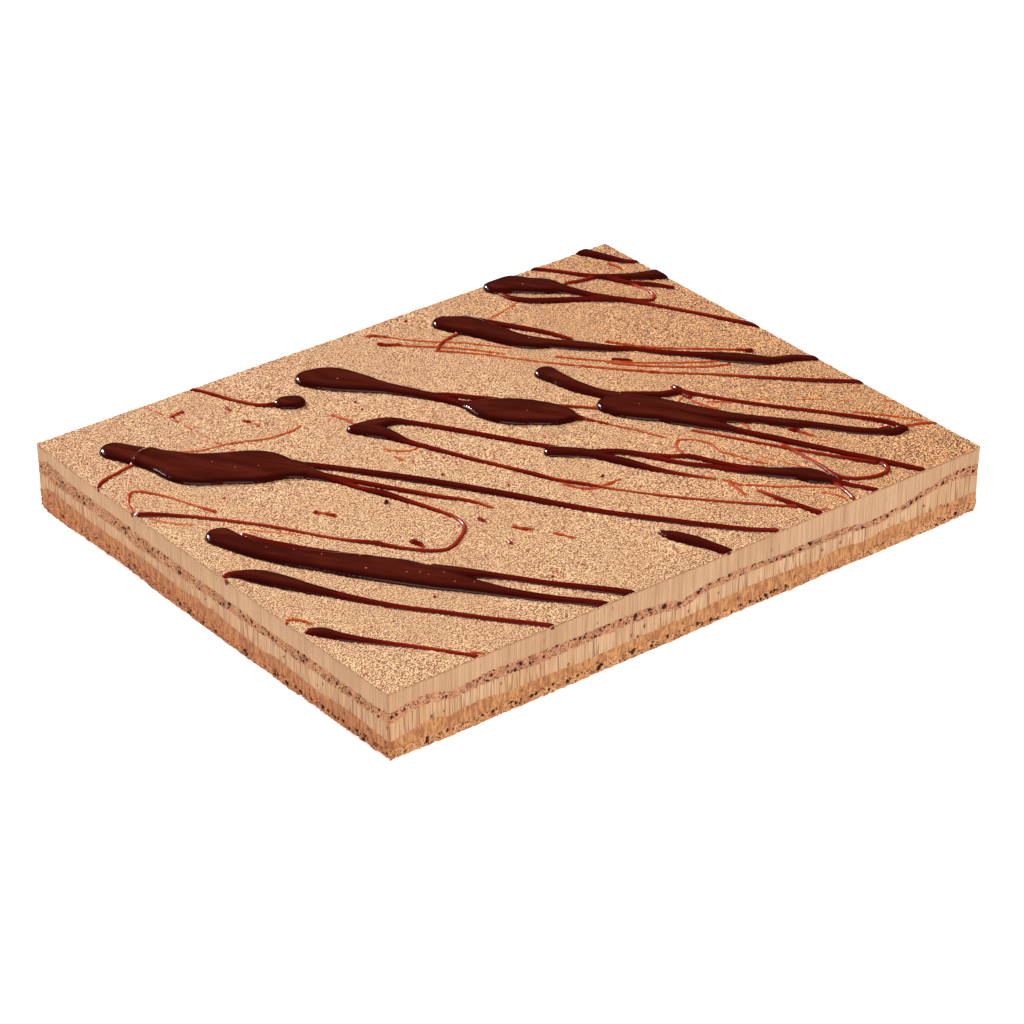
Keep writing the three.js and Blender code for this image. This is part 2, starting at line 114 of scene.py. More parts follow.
# %% Light and world
WARM_DIM = (1, 0.85, 0.7, 1)
DIM_POWER = 0.03


def softbox(name, spot, width, height, power, reflected=True):
    """A rectangular soft light that faces the cake."""
    light = bpy.data.lights.new(name, "AREA")
    light.shape = "RECTANGLE"
    light.size = width
    light.size_y = height
    light.energy = power
    lamp = bpy.data.objects.new(name, light)
    lamp.visible_glossy = reflected
    lamp.location = spot
    lamp.rotation_euler = (-Vector(spot)).to_track_quat("-Z", "Y").to_euler()
    bpy.context.scene.collection.objects.link(lamp)


softbox("key", (-0.4, 3.4, 2.0), 0.8, 0.64, 180)
softbox("back_strip", (-1.25, 1.7, 1.35), 1.2, 0.2, 9)
softbox("edge_strip", (-1.9, -1.4, 0.8), 1.8, 0.5, 5)
softbox("front_low", (0.5, -2.4, 0.5), 2.4, 0.6, 6, reflected=False)
softbox("overhead", (0.0, -1.1, 2.3), 1.6, 1.6, 49, reflected=False)

world = bpy.data.worlds.new("studio")
world.use_nodes = True
world.node_tree.nodes["Background"].inputs["Color"].default_value = WARM_DIM
world.node_tree.nodes["Background"].inputs["Strength"].default_value = DIM_POWER
bpy.context.scene.world = world
bpy.context.scene.view_settings.view_transform = "Standard"

# %% [markdown]
# ## Shaders written as sums
# A material in Blender is a web of nodes, and a sum as short as `1 - mask` takes a node of its own.
# One small class wraps a node's output and adds the Math node whenever it meets +, - or *, so the
# recipes further down read like arithmetic. Everything else goes through one method, `node`.

# %% The socket class
class Wire:
    """One output in a material, on which +, - and * add Math nodes."""

    def __init__(self, recipe, output):
        self.recipe = recipe
        self.output = output

    def _sum(self, operation, first, second):
        return self.recipe.node("ShaderNodeMath", {"operation": operation}, {0: first, 1: second})

    def __add__(self, other):
        return self._sum("ADD", self, other)

    def __sub__(self, other):
        return self._sum("SUBTRACT", self, other)

    def __rsub__(self, other):
        return self._sum("SUBTRACT", other, self)

    def __mul__(self, other):
        return self._sum("MULTIPLY", self, other)

    __radd__ = __add__
    __rmul__ = __mul__


class Recipe:
    """A material that is built up from its Principled BSDF."""

    def __init__(self, name, **constants):
        self.material = bpy.data.materials.new(name)
        self.material.use_nodes = True
        self.tree = self.material.node_tree
        self.shader = self.tree.nodes["Principled BSDF"]
        for socket, value in constants.items():
            self.feed(self.shader, socket.replace("_", " "), value)

    def feed(self, node, socket, value):
        """Sets a socket of a node to a number, a colour or a wire."""
        if isinstance(value, Wire):
            self.tree.links.new(value.output, node.inputs[socket])
        else:
            node.inputs[socket].default_value = value

    def node(self, kind, settings=(), sockets=(), output=0):
        """Adds a node: its settings first, then what goes into its sockets."""
        made = self.tree.nodes.new(kind)
        for setting, value in dict(settings).items():
            if setting == "stops":
                ramp = made.color_ramp.elements
                while len(ramp) < len(value):
                    ramp.new(0.5)
                for stop, (position, colour) in zip(ramp, value):
                    stop.position = position
                    stop.color = colour
            else:
                setattr(made, setting, value)
        for socket, value in dict(sockets).items():
            self.feed(made, socket, value)
        return Wire(self, made.outputs[output])

    def place(self):
        """The point of the cake that is coloured, in metres from its middle."""
        return self.node("ShaderNodeTexCoord", output="Object")

    def stretched(self, place, along):
        """A place with its axes scaled, to stretch a pattern."""
        return self.node("ShaderNodeVectorMath", {"operation": "MULTIPLY"}, {0: place, 1: along})

    def speckle(self, place, size, detail=2.0, roughness=0.5, distortion=0.0):
        """Noise with lumps of about `size` millimetres."""
        sockets = {"Vector": place, "Scale": 1 / (size * MM), "Detail": detail,
                   "Roughness": roughness, "Distortion": distortion}
        return self.node("ShaderNodeTexNoise", {}, sockets)

    def cells(self, place, size):
        """Distance to the middle of the nearest of many cells of about `size` millimetres."""
        sockets = {"Vector": place, "Scale": 1 / (size * MM)}
        return self.node("ShaderNodeTexVoronoi", {}, sockets)

    def between(self, value, low, high):
        """0 up to `low`, 1 from `high` on, and eased in between. With `low` above `high` it falls
        from 1 to 0."""
        sockets = {"Value": value, "From Min": low, "From Max": high}
        return self.node("ShaderNodeMapRange", {"interpolation_type": "SMOOTHSTEP"}, sockets)

    def attribute(self, name):
        """A number that the mesh keeps at each of its points."""
        return self.node("ShaderNodeAttribute", {"attribute_name": name}, output="Fac")

    def mix(self, share, first, second):
        """One colour going over into another."""
        sockets = {"Factor": share, 6: first, 7: second}
        return self.node("ShaderNodeMix", {"data_type": "RGBA"}, sockets, output=2)

    def tinted(self, share, colour, tint):
        """A colour multiplied by a tint, as far as `share` says."""
        settings = {"data_type": "RGBA", "blend_type": "MULTIPLY"}
        return self.node("ShaderNodeMix", settings, {"Factor": share, 6: colour, 7: tint}, output=2)

    def towards(self, place, way, start, end):
        """0 up to `start` metres from the middle of the cake in one direction, and 1 past `end`."""
        settings = {"operation": "DOT_PRODUCT"}
        there = self.node("ShaderNodeVectorMath", settings, {0: place, 1: way}, output="Value")
        return self.between(there, start, end)

    def on_short_side(self, place):
        """1 on the short near side, where the cut faces get a tint of painted shade."""
        return self.towards(place, (-1, 0, 0), 0.182, 0.186)

    def ramp(self, value, *stops):
        """A colour for each value, even from one stop to the next."""
        return self.node("ShaderNodeValToRGB", {"stops": stops}, {"Fac": value})

    def bump(self, height, depth, under=None):
        """Relief `depth` millimetres deep from a height of 0 to 1."""
        sockets = {"Height": height, "Distance": depth * MM}
        if under:
            sockets["Normal"] = under
        return self.node("ShaderNodeBump", {}, sockets)

    def finish(self, **sockets):
        """Feeds the shader's own sockets and hands over the material."""
        for socket, value in sockets.items():
            self.feed(self.shader, socket.replace("_", " "), value)
        print("material", self.material.name, "has", len(self.tree.nodes), "nodes")
        return self.material


def tone(red, green, blue):
    """A colour as read off a screen, from 0 to 255, as the linear colour Blender mixes with."""
    def linear(share):
        return share / 12.92 if share <= 0.04045 else ((share + 0.055) / 1.055) ** 2.4
    return (linear(red / 255), linear(green / 255), linear(blue / 255), 1)


# %% [markdown]
# ## The floor
# The cake lies on white in the photograph. A wide pale plate that glows faintly, like a light table,
# keeps the shadow round the cake as weak as it is there. It is only the stage and no part of the cake.

# %% Floor
FLOOR_SIZE = 9.0  # metres

pale = Recipe("pale_floor", Roughness=0.8)
pale.finish(Base_Color=(0.45, 0.45, 0.45, 1), Emission_Color=(1, 1, 1, 1), Emission_Strength=0.78)
floor_mesh = bmesh.new()
bmesh.ops.create_grid(floor_mesh, x_segments=1, y_segments=1, size=FLOOR_SIZE / 2)
floor = bpy.data.objects.new("floor", bpy.data.meshes.new("floor"))
floor_mesh.to_mesh(floor.data)
floor_mesh.free()
floor.data.materials.append(pale.material)
bpy.context.scene.collection.objects.link(floor)
print("floor", FLOOR_SIZE, "metres across")

# %% [markdown]
# ## Where the layers meet
# The knife shows every layer as a wavy band, because mousse is poured and sponge sags. The bands
# could be drawn as curves in the viewport, but here a few heights read along the two near sides with
# a ruler are enough, eased from one to the next. The far sides, which nobody sees in the photograph,
# repeat the near ones by half a turn with a slow drift added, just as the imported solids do.

# %% Heights of the boundaries
SPONGE_TOP = {
    "level": 25.5,
    "long": [
        (0, 27), (18, 29.3), (40, 25.5), (60, 27.2), (90, 26), (150, 25.5), (167, 24),
        (177, 21.7), (190, 24.5), (212, 25.4), (240, 24), (280, 23.8), (299, 21.2), (320, 22.5),
        (337, 26.2), (356, 29.4), (375, 28.5),
    ],
    "short": [
        (0, 27), (14, 26), (60, 26.4), (92, 25.6), (175, 26.2), (222, 27.8), (268, 28.2),
        (289, 31.2), (300, 28.5),
    ],
}
SPONGE_BOTTOM = {
    "level": 20,
    "long": [
        (0, 21), (18, 23.3), (40, 20.4), (57, 21), (90, 19.4), (127, 20), (155, 19.7),
        (176, 16.9), (194, 20.5), (215, 20.8), (280, 19.5), (304, 17.2), (320, 18.6),
        (345, 23.2), (356, 23.9), (375, 21.5),
    ],
    "short": [
        (0, 21), (12, 20), (62, 20), (78, 19.5), (92, 20.3), (170, 19.5), (210, 18.6),
        (224, 20.2), (275, 20.2), (300, 21.5),
    ],
}
CRUNCH_TOP = {
    "level": 11.5,
    "long": [
        (0, 11), (24, 14.4), (36, 11.8), (44, 13), (58, 13.1), (67, 11.4), (92, 11.3),
        (117, 10.3), (178, 10.8), (202, 12.2), (228, 12.9), (252, 12.2), (266, 10.9),
        (280, 12.7), (297, 10.5), (314, 12.8), (326, 11.6), (350, 12.1), (375, 12.2),
    ],
    "short": [
        (0, 11), (30, 12.4), (56, 11), (92, 12.7), (101, 11), (130, 12.4), (143, 14.1),
        (150, 12.6), (157, 13.9), (168, 12.6), (205, 14.3), (250, 13.6), (289, 15.2),
        (300, 12.2),
    ],
}
CRUNCH_BOTTOM = {
    "level": 5.4,
    "long": [(0, 6), (40, 5.1), (130, 5.2), (230, 4.9), (320, 5.2), (345, 6.3), (375, 7.4)],
    "short": [(0, 6), (50, 5.2), (90, 5.6), (140, 5.7), (210, 7.2), (262, 8.4), (300, 7.4)],
}
BASE_EDGE = {
    "level": 0,
    "long": [
        (0, 0.3), (20, 0.6), (45, 0.1), (70, 0.1), (95, 0), (170, 0), (190, 0.5), (215, 0.9),
        (250, 0.4), (275, 0.9), (300, 0.4), (350, 0.4), (375, 0.8),
    ],
    "short": [
        (0, 0.6), (26, 1.1), (70, 0.9), (84, 0), (99, 1.1), (114, 0.1), (130, 0), (145, 0.3),
        (161, 0), (176, 0.5), (192, 0), (208, 1.1), (225, 1.6), (258, 1), (275, 0.3), (300, 0),
    ],
}
VELVET_DIP = {  # how far the near top edges sag below the level of the velvet
    "long": [(0, 0.1), (60, 0.1), (125, 0.5), (200, 0.5), (250, 0), (375, 0)],
    "short": [(0, 0.1), (12, 0.9), (240, 0.9), (300, 0)],
}
HIDDEN_WAVE = 0.7  # how far the layers of the two far sides wander from the near ones


def eased(knots, distance):
    """The height at a distance, eased from one knot to the next."""
    at, height = np.array(knots, float).T
    step = np.clip(np.searchsorted(at, distance) - 1, 0, len(at) - 2)
    share = np.clip((distance - at[step]) / (at[step + 1] - at[step]), 0, 1)
    share = share * share * (3 - 2 * share)
    return height[step] + share * (height[step + 1] - height[step])


def rim_height(boundary, along, hidden_wave=HIDDEN_WAVE):
    """The height of a boundary at a distance round the cut sides from the near corner."""
    run = np.mod(along, LENGTH + DEPTH)
    on_long = run < LENGTH
    height = np.where(
        on_long,
        eased(boundary["long"], run),
        eased(boundary["short"], LENGTH + DEPTH - run),
    )
    right_side = (along >= LENGTH) & (along < LENGTH + DEPTH)
    back_side = (along >= LENGTH + DEPTH) & (along < 2 * LENGTH + DEPTH)
    wave = np.where(right_side, (along - LENGTH) / DEPTH, (along - LENGTH - DEPTH) / LENGTH)
    drift = hidden_wave * np.sin(3 * math.pi * wave)
    return height + np.where(right_side | back_side, drift, 0)


probe = np.array([18.0, 177.0, 356.0])
print("top of the thin sponge at", probe, "mm:", rim_height(SPONGE_TOP, probe).round(1))

# %% [markdown]
# ## A strip wrapped round the cake
# Each layer shows as a band on four cut sides. It could be a box with its faces cut up, but a knife
# drags, tears and pits the crumb every half millimetre. So each layer starts as one flat grid that is
# wrapped round the sheet like a paper collar, and every point of it can then be pushed in. The ends
# of the collar are welded, and its two rims are drawn in to the middle and closed.

# %% The collar
COLUMN = 0.5  # mm from one upright line of points to the next
ROWS = 12  # from the lower rim of a collar to its upper rim
CORNER_ROUND = 1.0  # the knife's upright corners
INNER_SHARE = 0.8  # inside this share of the sheet each layer lies level


def rounded(x, y):
    """Points on the outline of the sheet moved in to its rounded corners, and the ways out."""
    place = np.stack([x, y], -1)
    core = np.clip(place, CORNER_ROUND, (LENGTH - CORNER_ROUND, DEPTH - CORNER_ROUND))
    out = place - core
    out = out / np.linalg.norm(out, axis=-1, keepdims=True)
    return core + out * CORNER_ROUND, out


def rim_place(along):
    """The place at a distance round the cut sides from the near corner, and the way out."""
    corners = np.cumsum([0, LENGTH, DEPTH, LENGTH, DEPTH])
    x = np.interp(along, corners, [0, LENGTH, LENGTH, 0, 0])
    y = np.interp(along, corners, [0, 0, DEPTH, DEPTH, 0])
    return rounded(x, y)


def lumps(points, size, seed=0):
    """Smooth noise from about -1 to 1 at each point, with lumps of `size` millimetres."""
    shift = Vector((7.1 * seed, 3.7 * seed, 5.3 * seed))
    scale = np.broadcast_to(np.asarray(size, float), (3,))
    return np.array([noise.noise(Vector(p) + shift) for p in points / scale])


def uneven(points, *waves):
    """Lumps of several sizes added up, each as their depth, their size and their seed."""
    return sum(depth * lumps(points, size, seed) for depth, size, seed in waves)


def flat_points(x, y):
    """Places on the sheet as points, to read lumps at."""
    return np.column_stack([x, y, np.zeros(len(x))])


def bare_collar():
    """The grid of a collar, with how far round and how far up each of its points is."""
    bm = bmesh.new()
    columns = round(ROUND_TRIP / COLUMN)
    bmesh.ops.create_grid(bm, x_segments=columns, y_segments=ROWS, size=1)
    flat = np.array([vert.co for vert in bm.verts])
    low, high = flat.min(0), flat.max(0)
    along = (flat[:, 0] - low[0]) / (high[0] - low[0]) * ROUND_TRIP
    share = (flat[:, 1] - low[1]) / (high[1] - low[1])
    return bm, along, share


def set_points(bm, points):
    for vert, point in zip(bm.verts, in_metres(points)):
        vert.co = point


def set_layer(bm, name, values):
    """Keeps one number a point for the material to read."""
    kept = bm.verts.layers.float.new(name)
    for vert, value in zip(bm.verts, values):
        vert[kept] = value


def new_verts(grown):
    return [part for part in grown["geom"] if isinstance(part, bmesh.types.BMVert)]


def new_edges(grown):
    return [part for part in grown["geom"] if isinstance(part, bmesh.types.BMEdge)]


def close_rims(bm, low_level, high_level, foot=None):
    """Draws the open rims of a collar in to the level middle of the layer and closes them. A foot,
    a function that places points, comes first on the lower rim."""
    share = bm.verts.layers.float["share"]
    rim = [edge for edge in bm.edges if edge.is_boundary]
    for is_high, level in ((False, low_level), (True, high_level)):
        edges = [edge for edge in rim if (edge.verts[0][share] > 0.5) == is_high]
        for edge in edges:
            edge.smooth = False
        if foot and not is_high:
            grown = bmesh.ops.extrude_edge_only(bm, edges=edges)
            foot(new_verts(grown))
            edges = new_edges(grown)
        grown = bmesh.ops.extrude_edge_only(bm, edges=edges)
        for vert in new_verts(grown):
            vert.co = (vert.co.x * INNER_SHARE, vert.co.y * INNER_SHARE, level * MM)
        bmesh.ops.contextual_create(bm, geom=new_edges(grown))


def make_piece(bm, name, material, slot, *nodes):
    """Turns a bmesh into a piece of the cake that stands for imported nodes."""
    bmesh.ops.recalc_face_normals(bm, faces=bm.faces)
    mesh = bpy.data.meshes.new(name)
    for face in bm.faces:
        face.smooth = True
    bm.to_mesh(mesh)
    bm.free()
    mesh.materials.append(material)
    piece = bpy.data.objects.new(name, mesh)
    bpy.context.scene.collection.objects.link(piece)
    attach(piece, "root")
    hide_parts(*nodes)
    print(f"{name}: {sum(len(p.vertices) - 2 for p in mesh.polygons)} triangles")
    return piece


# %% [markdown]
# ## Pits
# Air bubbles in sponge and mousse are opened by the knife and show as dark holes. They could be
# punched with a Boolean each, which is slow by the hundred. Pushing the nearby points in along a
# round hollow gives the same holes, and the same number tells the material how much painted shade
# darkens each point, for the shade that lies deep inside such a hole.
# The largest holes are placed as they are seen on the two near sides, and the rest are scattered.

# %% Pits
def on_long_side(*spots):
    """Holes on the long near side, each as x, height and radius."""
    return list(spots)


def on_short_side(*spots):
    """Holes on the short near side, each as y, height and radius, by their way round the sheet."""
    return [(ROUND_TRIP - y, height, radius) for y, height, radius in spots]


def scattered(count, floor, roof, small, large, seed):
    """Holes at random all the way round between two boundaries, far more of them small."""
    draw = random.Random(seed)
    along = np.array([draw.uniform(0, ROUND_TRIP) for _ in range(count)])
    low, high = rim_height(floor, along), rim_height(roof, along)
    height = [bottom + draw.uniform(0.1, 0.9) * (top - bottom) for bottom, top in zip(low, high)]
    radius = [small + (large - small) * draw.random() ** 3 for _ in range(count)]
    return list(zip(along, height, radius))


SOFT_RIM = 1.4  # radii from the middle of a hole at which its hollow starts
HOLE_WIDTH = 0.9  # width of a hole over its height


def pitted(along, height, spots):
    """How deep each point lies in the hollow of a hole, from 0 to 1."""
    depth = np.zeros(len(along))
    for at, level, radius in spots:
        near = np.abs(along - at) < SOFT_RIM * radius
        gap = np.hypot(along[near] - at, HOLE_WIDTH * (height[near] - level)) / radius
        depth[near] = np.maximum(depth[near], SOFT_RIM - gap).clip(0, 1)
    return depth


# %% [markdown]
# ## From collar to layer
# A layer needs the boundary below it, the one above, and what the knife did to its face. The
# boundary gets a fine wobble besides, and both layers that share it read the same one, so that no
# gap opens between them.

# %% Building a layer
def wobbly(boundary):
    """A boundary's height with the fine unevenness of crumb and mousse added, as a function."""
    def heights(along):
        place, _ = rim_place(along)
        points = np.column_stack([place, np.full(len(along), boundary["level"])])
        return rim_height(boundary, along) + uneven(points, (0.3, 3.1, 0), (0.2, 1.2, 0))
    return heights


def build_layer(name, floor, roof, levels, relief, pits, pit_depth, finish, foot=None):
    """One layer's skin, pushed in by relief(points, share) and by its pits, in millimetres."""
    bm, along, share = bare_collar()
    low, high = floor(along), roof(along)
    height = low + share * (high - low)
    place, out = rim_place(along)
    points = np.column_stack([place, height])
    pit = pitted(along, height, pits)
    inward = relief(points, share) + pit_depth * pit
    points[:, :2] -= out * inward[:, None]
    set_points(bm, points)
    set_layer(bm, "share", share)
    # the pit depth also tells the material how much painted shade to lay on
    set_layer(bm, "pit", pit)
    bmesh.ops.remove_doubles(bm, verts=bm.verts, dist=1e-6)
    close_rims(bm, *levels, foot)
    return make_piece(bm, name, *finish)


# %% [markdown]
# ## What a knife leaves
# A long knife pulled down through cold mousse leaves fine upright lines. Noise that is squeezed
# along the cut and drawn out along Z gives such lines on all four sides at once, because it is read
# at the point's own place in the cake.

# %% Knife lines
LINE_LENGTH = 40  # mm


def knife_lines(points, width, seed=0):
    """Upright grooves about `width` millimetres apart, from 0 to 1."""
    return 0.5 + 0.5 * lumps(points, (width, width, LINE_LENGTH), seed)


# %% [markdown]
# ## The finish of cut mousse
# Cut mousse is satin, the colour of milky caramel, with darker hair lines where the knife dragged.
# The lower mousse is the same mousse with deeper lines, and the knife has pulled praline up into it:
# brown streaks that fade out upwards. Both come from one recipe with a few numbers changed. The short
# near side is tinted a little browner than the rest as painted shade, for these two and for the
# layers below.

# %% Mousse material
def mousse_material(name, light, dark, line, smear, short_side_shade):
    recipe = Recipe(name, Roughness=0.55)
    place = recipe.place()
    broad = recipe.speckle(recipe.stretched(place, (1, 1, 0.25)), 14, 2)
    fine = recipe.speckle(recipe.stretched(place, (1, 1, 0.02)), 0.9, 3, 0.7)
    level = recipe.speckle(recipe.stretched(place, (1, 1, 0.015)), 1.5, 1) - 0.5
    hair = recipe.between(level * level, 0.0009, 0.0001)
    body = recipe.mix(recipe.between(broad * 0.4 + fine * 0.6, 0.38, 0.6), dark, light)
    lined = recipe.mix(hair * line, body, tone(166, 102, 58))
    streak = recipe.between(recipe.speckle(recipe.stretched(place, (1, 1, 0.03)), 1.8, 2), 0.5, 0.68)
    pulled = streak * recipe.between(recipe.attribute("share"), 0.7, 0.0) * smear
    smeared = recipe.mix(pulled, lined, tone(160, 92, 48))
    # painted shade: the short near side is tinted darker
    sided = recipe.tinted(recipe.on_short_side(place), smeared, short_side_shade)
    return recipe.finish(
        # painted shade: points darken towards the deepest part of a pit
        Base_Color=recipe.mix(recipe.attribute("pit"), sided, tone(70, 20, 10)),
        Normal=recipe.bump(fine * 0.7 + hair * -0.6, 0.35),
    )


# the last tint of each mousse is painted shade for the short near side
top_mousse = mousse_material(
    "top_mousse", tone(224, 176, 132), tone(207, 157, 112), 0.2, 0.0, (1, 0.95, 0.86, 1),
)
lower_mousse = mousse_material(
    "lower_mousse", tone(234, 187, 142), tone(212, 160, 112), 0.85, 0.6, (0.95, 0.88, 0.78, 1),
)

# %% [markdown]
# ## The two mousses
# The top mousse reaches from the thin sponge to just under the velvet, and the lower one from the
# praline to the thin sponge. Their faces are almost flat: the lines are a tenth of a millimetre
# deep in the top one and three times that in the lower one.

# %% Mousse layers
COAT = 0.7  # mm, thickness of the velvet where the knife cuts it
HIDDEN_GAP = 2  # mm below the velvet at which the top mousse lies level, where nobody sees it


def dragged_down(along):
    """How far the knife dragged the top edge down, round the cut sides."""
    near_side = (along <= LENGTH) | (along >= 2 * LENGTH + DEPTH)
    return np.where(near_side, rim_height(VELVET_DIP, along, 0), 0)


def coat_underside(along):
    return TOP - COAT - dragged_down(along)


def top_cut(points, share):
    return 0.1 * knife_lines(points, 1.3) + 0.12 * knife_lines(points, 9, 2) - 0.1 * share


def lower_cut(points, share):
    return 0.1 + 0.3 * knife_lines(points, 1.3, 4) + 0.15 * knife_lines(points, 7, 5)


TOP_HOLES = on_long_side(
    (132.5, 33.2, 0.5), (123.5, 28.6, 0.4), (234, 28.2, 0.4), (91, 31, 0.4), (310, 30, 0.5),
)
LOWER_HOLES = on_long_side(
    (25, 15.3, 0.8), (106, 12, 0.6), (145, 13.5, 0.7), (149, 11, 0.8), (153, 15.3, 0.7),
    (181, 13.3, 0.7), (200, 16.3, 0.7), (268, 15.7, 0.7), (280, 15.7, 0.6), (337, 16.2, 0.7),
    (342, 12.3, 0.6), (349, 12.2, 0.6),
)
LOWER_HOLES += scattered(30, CRUNCH_TOP, SPONGE_BOTTOM, 0.3, 0.7, 22)

build_layer("top_mousse_face", wobbly(SPONGE_TOP), coat_underside,
            (SPONGE_TOP["level"], TOP - HIDDEN_GAP), top_cut, TOP_HOLES, 0.5,
            (top_mousse, "velvet_mousse", "mousse_top"))
build_layer("lower_mousse_face", wobbly(CRUNCH_TOP), wobbly(SPONGE_BOTTOM),
            (CRUNCH_TOP["level"], SPONGE_BOTTOM["level"]), lower_cut, LOWER_HOLES, 0.7,
            (lower_mousse, "lower_mousse", "mousse_lower"))

# %% [markdown]
# ## Open crumb
# Cut sponge is an open crumb, full of holes from a pinprick up to 3 mm wide. The large ones are
# shaped; the pinpricks are dark cells in the material, painted shade in place of holes, which costs
# no faces. Two layers are made of it: a thin one between the mousses, and the base, which is browner
# and coarser. So one recipe makes both finishes.

# %% Crumb material
def crumb_material(name, light, dark, hole_shade, hole_size, hole_share, grain, short_side_shade, beside=None):
    """Open crumb: lumps of two sizes and a scatter of pinprick holes painted dark as painted shade,
    with a tint of painted shade on the short near side. Where the layer next to it is smeared over its
    borders, it takes on that colour, `beside`."""
    recipe = Recipe(name, Roughness=0.85)
    place = recipe.place()
    lump = recipe.speckle(place, grain, 3, 0.65)
    fleck = recipe.speckle(recipe.stretched(place, (1, 1, 0.6)), 3.2, 2)
    body = recipe.mix(recipe.between(lump * 0.65 + fleck * 0.35, 0.38, 0.62), dark, light)
    closeness = recipe.cells(place, hole_size) + recipe.speckle(place, 6.0, 2) * 0.5
    prick = recipe.between(closeness, 0.22 + hole_share, 0.16 + hole_share)
    pit = recipe.between(recipe.attribute("pit"), 0.2, 0.75)
    holes = recipe.node("ShaderNodeMath", {"operation": "MAXIMUM"}, {0: prick, 1: pit})
    if beside:
        middle = recipe.attribute("share") - 0.5
        border = middle * middle + (fleck - 0.5) * 0.25
        reddish = recipe.mix(recipe.between(border, 0.1, 0.2) * 0.25, body, tone(176, 108, 72))
        body = recipe.mix(recipe.between(border, 0.12, 0.28), reddish, beside)
    # painted shade: the short near side is tinted darker
    body = recipe.tinted(recipe.on_short_side(place), body, short_side_shade)
    # painted shade: pinprick holes and pits take the dark hole colour
    return recipe.finish(
        Base_Color=recipe.mix(holes, body, hole_shade),
        Normal=recipe.bump(lump - holes * 0.8, 0.5),
    )


# the dark hole colours and the short-side tints below are painted shade
thin_sponge = crumb_material(
    "thin_sponge", tone(228, 166, 122), tone(186, 118, 84), tone(72, 20, 14), 1.1, 0.33, 0.9,
    (1, 0.98, 0.86, 1), tone(224, 176, 130),
)
base_crumb = crumb_material(
    "base_crumb", tone(248, 184, 127), tone(176, 108, 64), tone(54, 15, 7), 1.3, 0.33, 0.8,
    (0.86, 0.66, 0.54, 1),
)

# %% [markdown]
# ## The thin sponge
# A thin plain sponge runs through the mousse. It soaks up moisture, so it is greyer and darker than
# the mousse, and the knife has smeared a little mousse over both its borders. Its face is rough all
# over, with hundreds of holes, so its relief is deeper and of a finer grain than that of the mousse.

# %% Thin sponge
def sponge_cut(points, share):
    return 0.2 + uneven(points, (0.3, 1.4, 6), (0.2, 3.5, 7))


SPONGE_HOLES = on_long_side(
    (2, 24, 0.9), (5, 24.2, 0.8), (60, 24, 0.9), (74, 21.5, 0.9), (83, 21.7, 0.8), (99, 25, 0.9),
    (122.5, 20.7, 0.9), (131, 24.7, 0.6), (138, 24.4, 0.8), (141.5, 21.2, 0.8), (147.3, 23.2, 1.4),
    (156, 23.3, 0.9), (165.5, 21.6, 1.5), (174.5, 19.7, 1.1), (187, 21.6, 1), (192, 24.8, 0.6),
    (199.5, 24.6, 0.6), (221.5, 23.6, 0.7), (242.7, 21, 0.9), (253, 21.5, 0.8), (295, 18.5, 1),
    (312, 19.5, 1), (328, 21.5, 1), (350, 25, 1), (364, 28, 1), (371, 24.7, 0.9),
)
SPONGE_HOLES += on_short_side(
    (8, 25, 0.8), (8.5, 21.3, 0.8), (30, 22.6, 0.8), (47, 21.7, 0.8), (65.5, 24.3, 0.6),
    (82, 20.3, 0.7), (92.3, 22.8, 0.9), (95.8, 23.3, 1), (129, 24, 0.9), (172, 21.5, 0.9),
    (184, 25, 0.9), (195, 23.7, 0.9), (199, 21, 0.9), (207.5, 23.8, 1), (219, 22.5, 0.9),
    (221, 24.2, 0.9), (257, 22, 1), (277, 25, 0.9),
)
SPONGE_HOLES += scattered(700, SPONGE_BOTTOM, SPONGE_TOP, 0.3, 0.95, 23)

build_layer("thin_sponge_face", wobbly(SPONGE_BOTTOM), wobbly(SPONGE_TOP),
            (SPONGE_BOTTOM["level"], SPONGE_TOP["level"]), sponge_cut, SPONGE_HOLES, 0.9,
            (thin_sponge, "thin_sponge", "sponge_mid"))

# %% [markdown]
# ## Praline crunch
# The crunch is a dense brown paste of nuts and wafer. The knife smears it, so its face is nearly
# closed, with upright streaks and lighter and darker grains a millimetre or two across.

# %% Praline
def crunch_cut(points, share):
    return 0.35 + uneven(points, (0.2, (1.2, 1.2, 3), 8), (0.25, (2.5, 2.5, 6), 9))


praline = Recipe("praline_paste", Roughness=0.6)
place = praline.place()
streak = praline.speckle(praline.stretched(place, (1, 1, 0.25)), 1.5, 3, 0.65)
grain = praline.speckle(praline.stretched(place, (1, 1, 0.6)), 1.0, 3, 0.7)
paste = praline.mix(praline.between(streak, 0.36, 0.64), tone(172, 102, 54), tone(222, 156, 94))
nutty = praline.mix(praline.between(grain, 0.6, 0.72) * 0.6, paste, tone(240, 188, 128))
seedy = praline.mix(praline.between(grain, 0.4, 0.3) * 0.7, nutty, tone(124, 60, 28))
# painted shade: the short near side is tinted darker
sided = praline.tinted(praline.on_short_side(place), seedy, (0.87, 0.69, 0.45, 1))
praline.finish(
    # painted shade: pits darken towards their deepest part
    Base_Color=praline.mix(praline.attribute("pit"), sided, tone(64, 22, 10)),
    Normal=praline.bump(streak * 0.6 + grain * 0.5, 0.4),
)
CRUNCH_HOLES = scattered(110, CRUNCH_BOTTOM, CRUNCH_TOP, 0.3, 0.8, 24)
build_layer("praline_face", wobbly(CRUNCH_BOTTOM), wobbly(CRUNCH_TOP),
            (CRUNCH_BOTTOM["level"], CRUNCH_TOP["level"]), crunch_cut, CRUNCH_HOLES, 0.6,
            (praline.material, "praline", "praline_crunch"))

# %% [markdown]
# ## The base sponge
# The base is a coarse brown crumb that rests on the board. Its lower edge is torn: crumbs have come
# away, most at the corners, so it stands on a flat underside that starts a little way in. The collar
# ends at the torn edge, and its lower rim is then drawn in twice, first to the board and then to the
# middle.

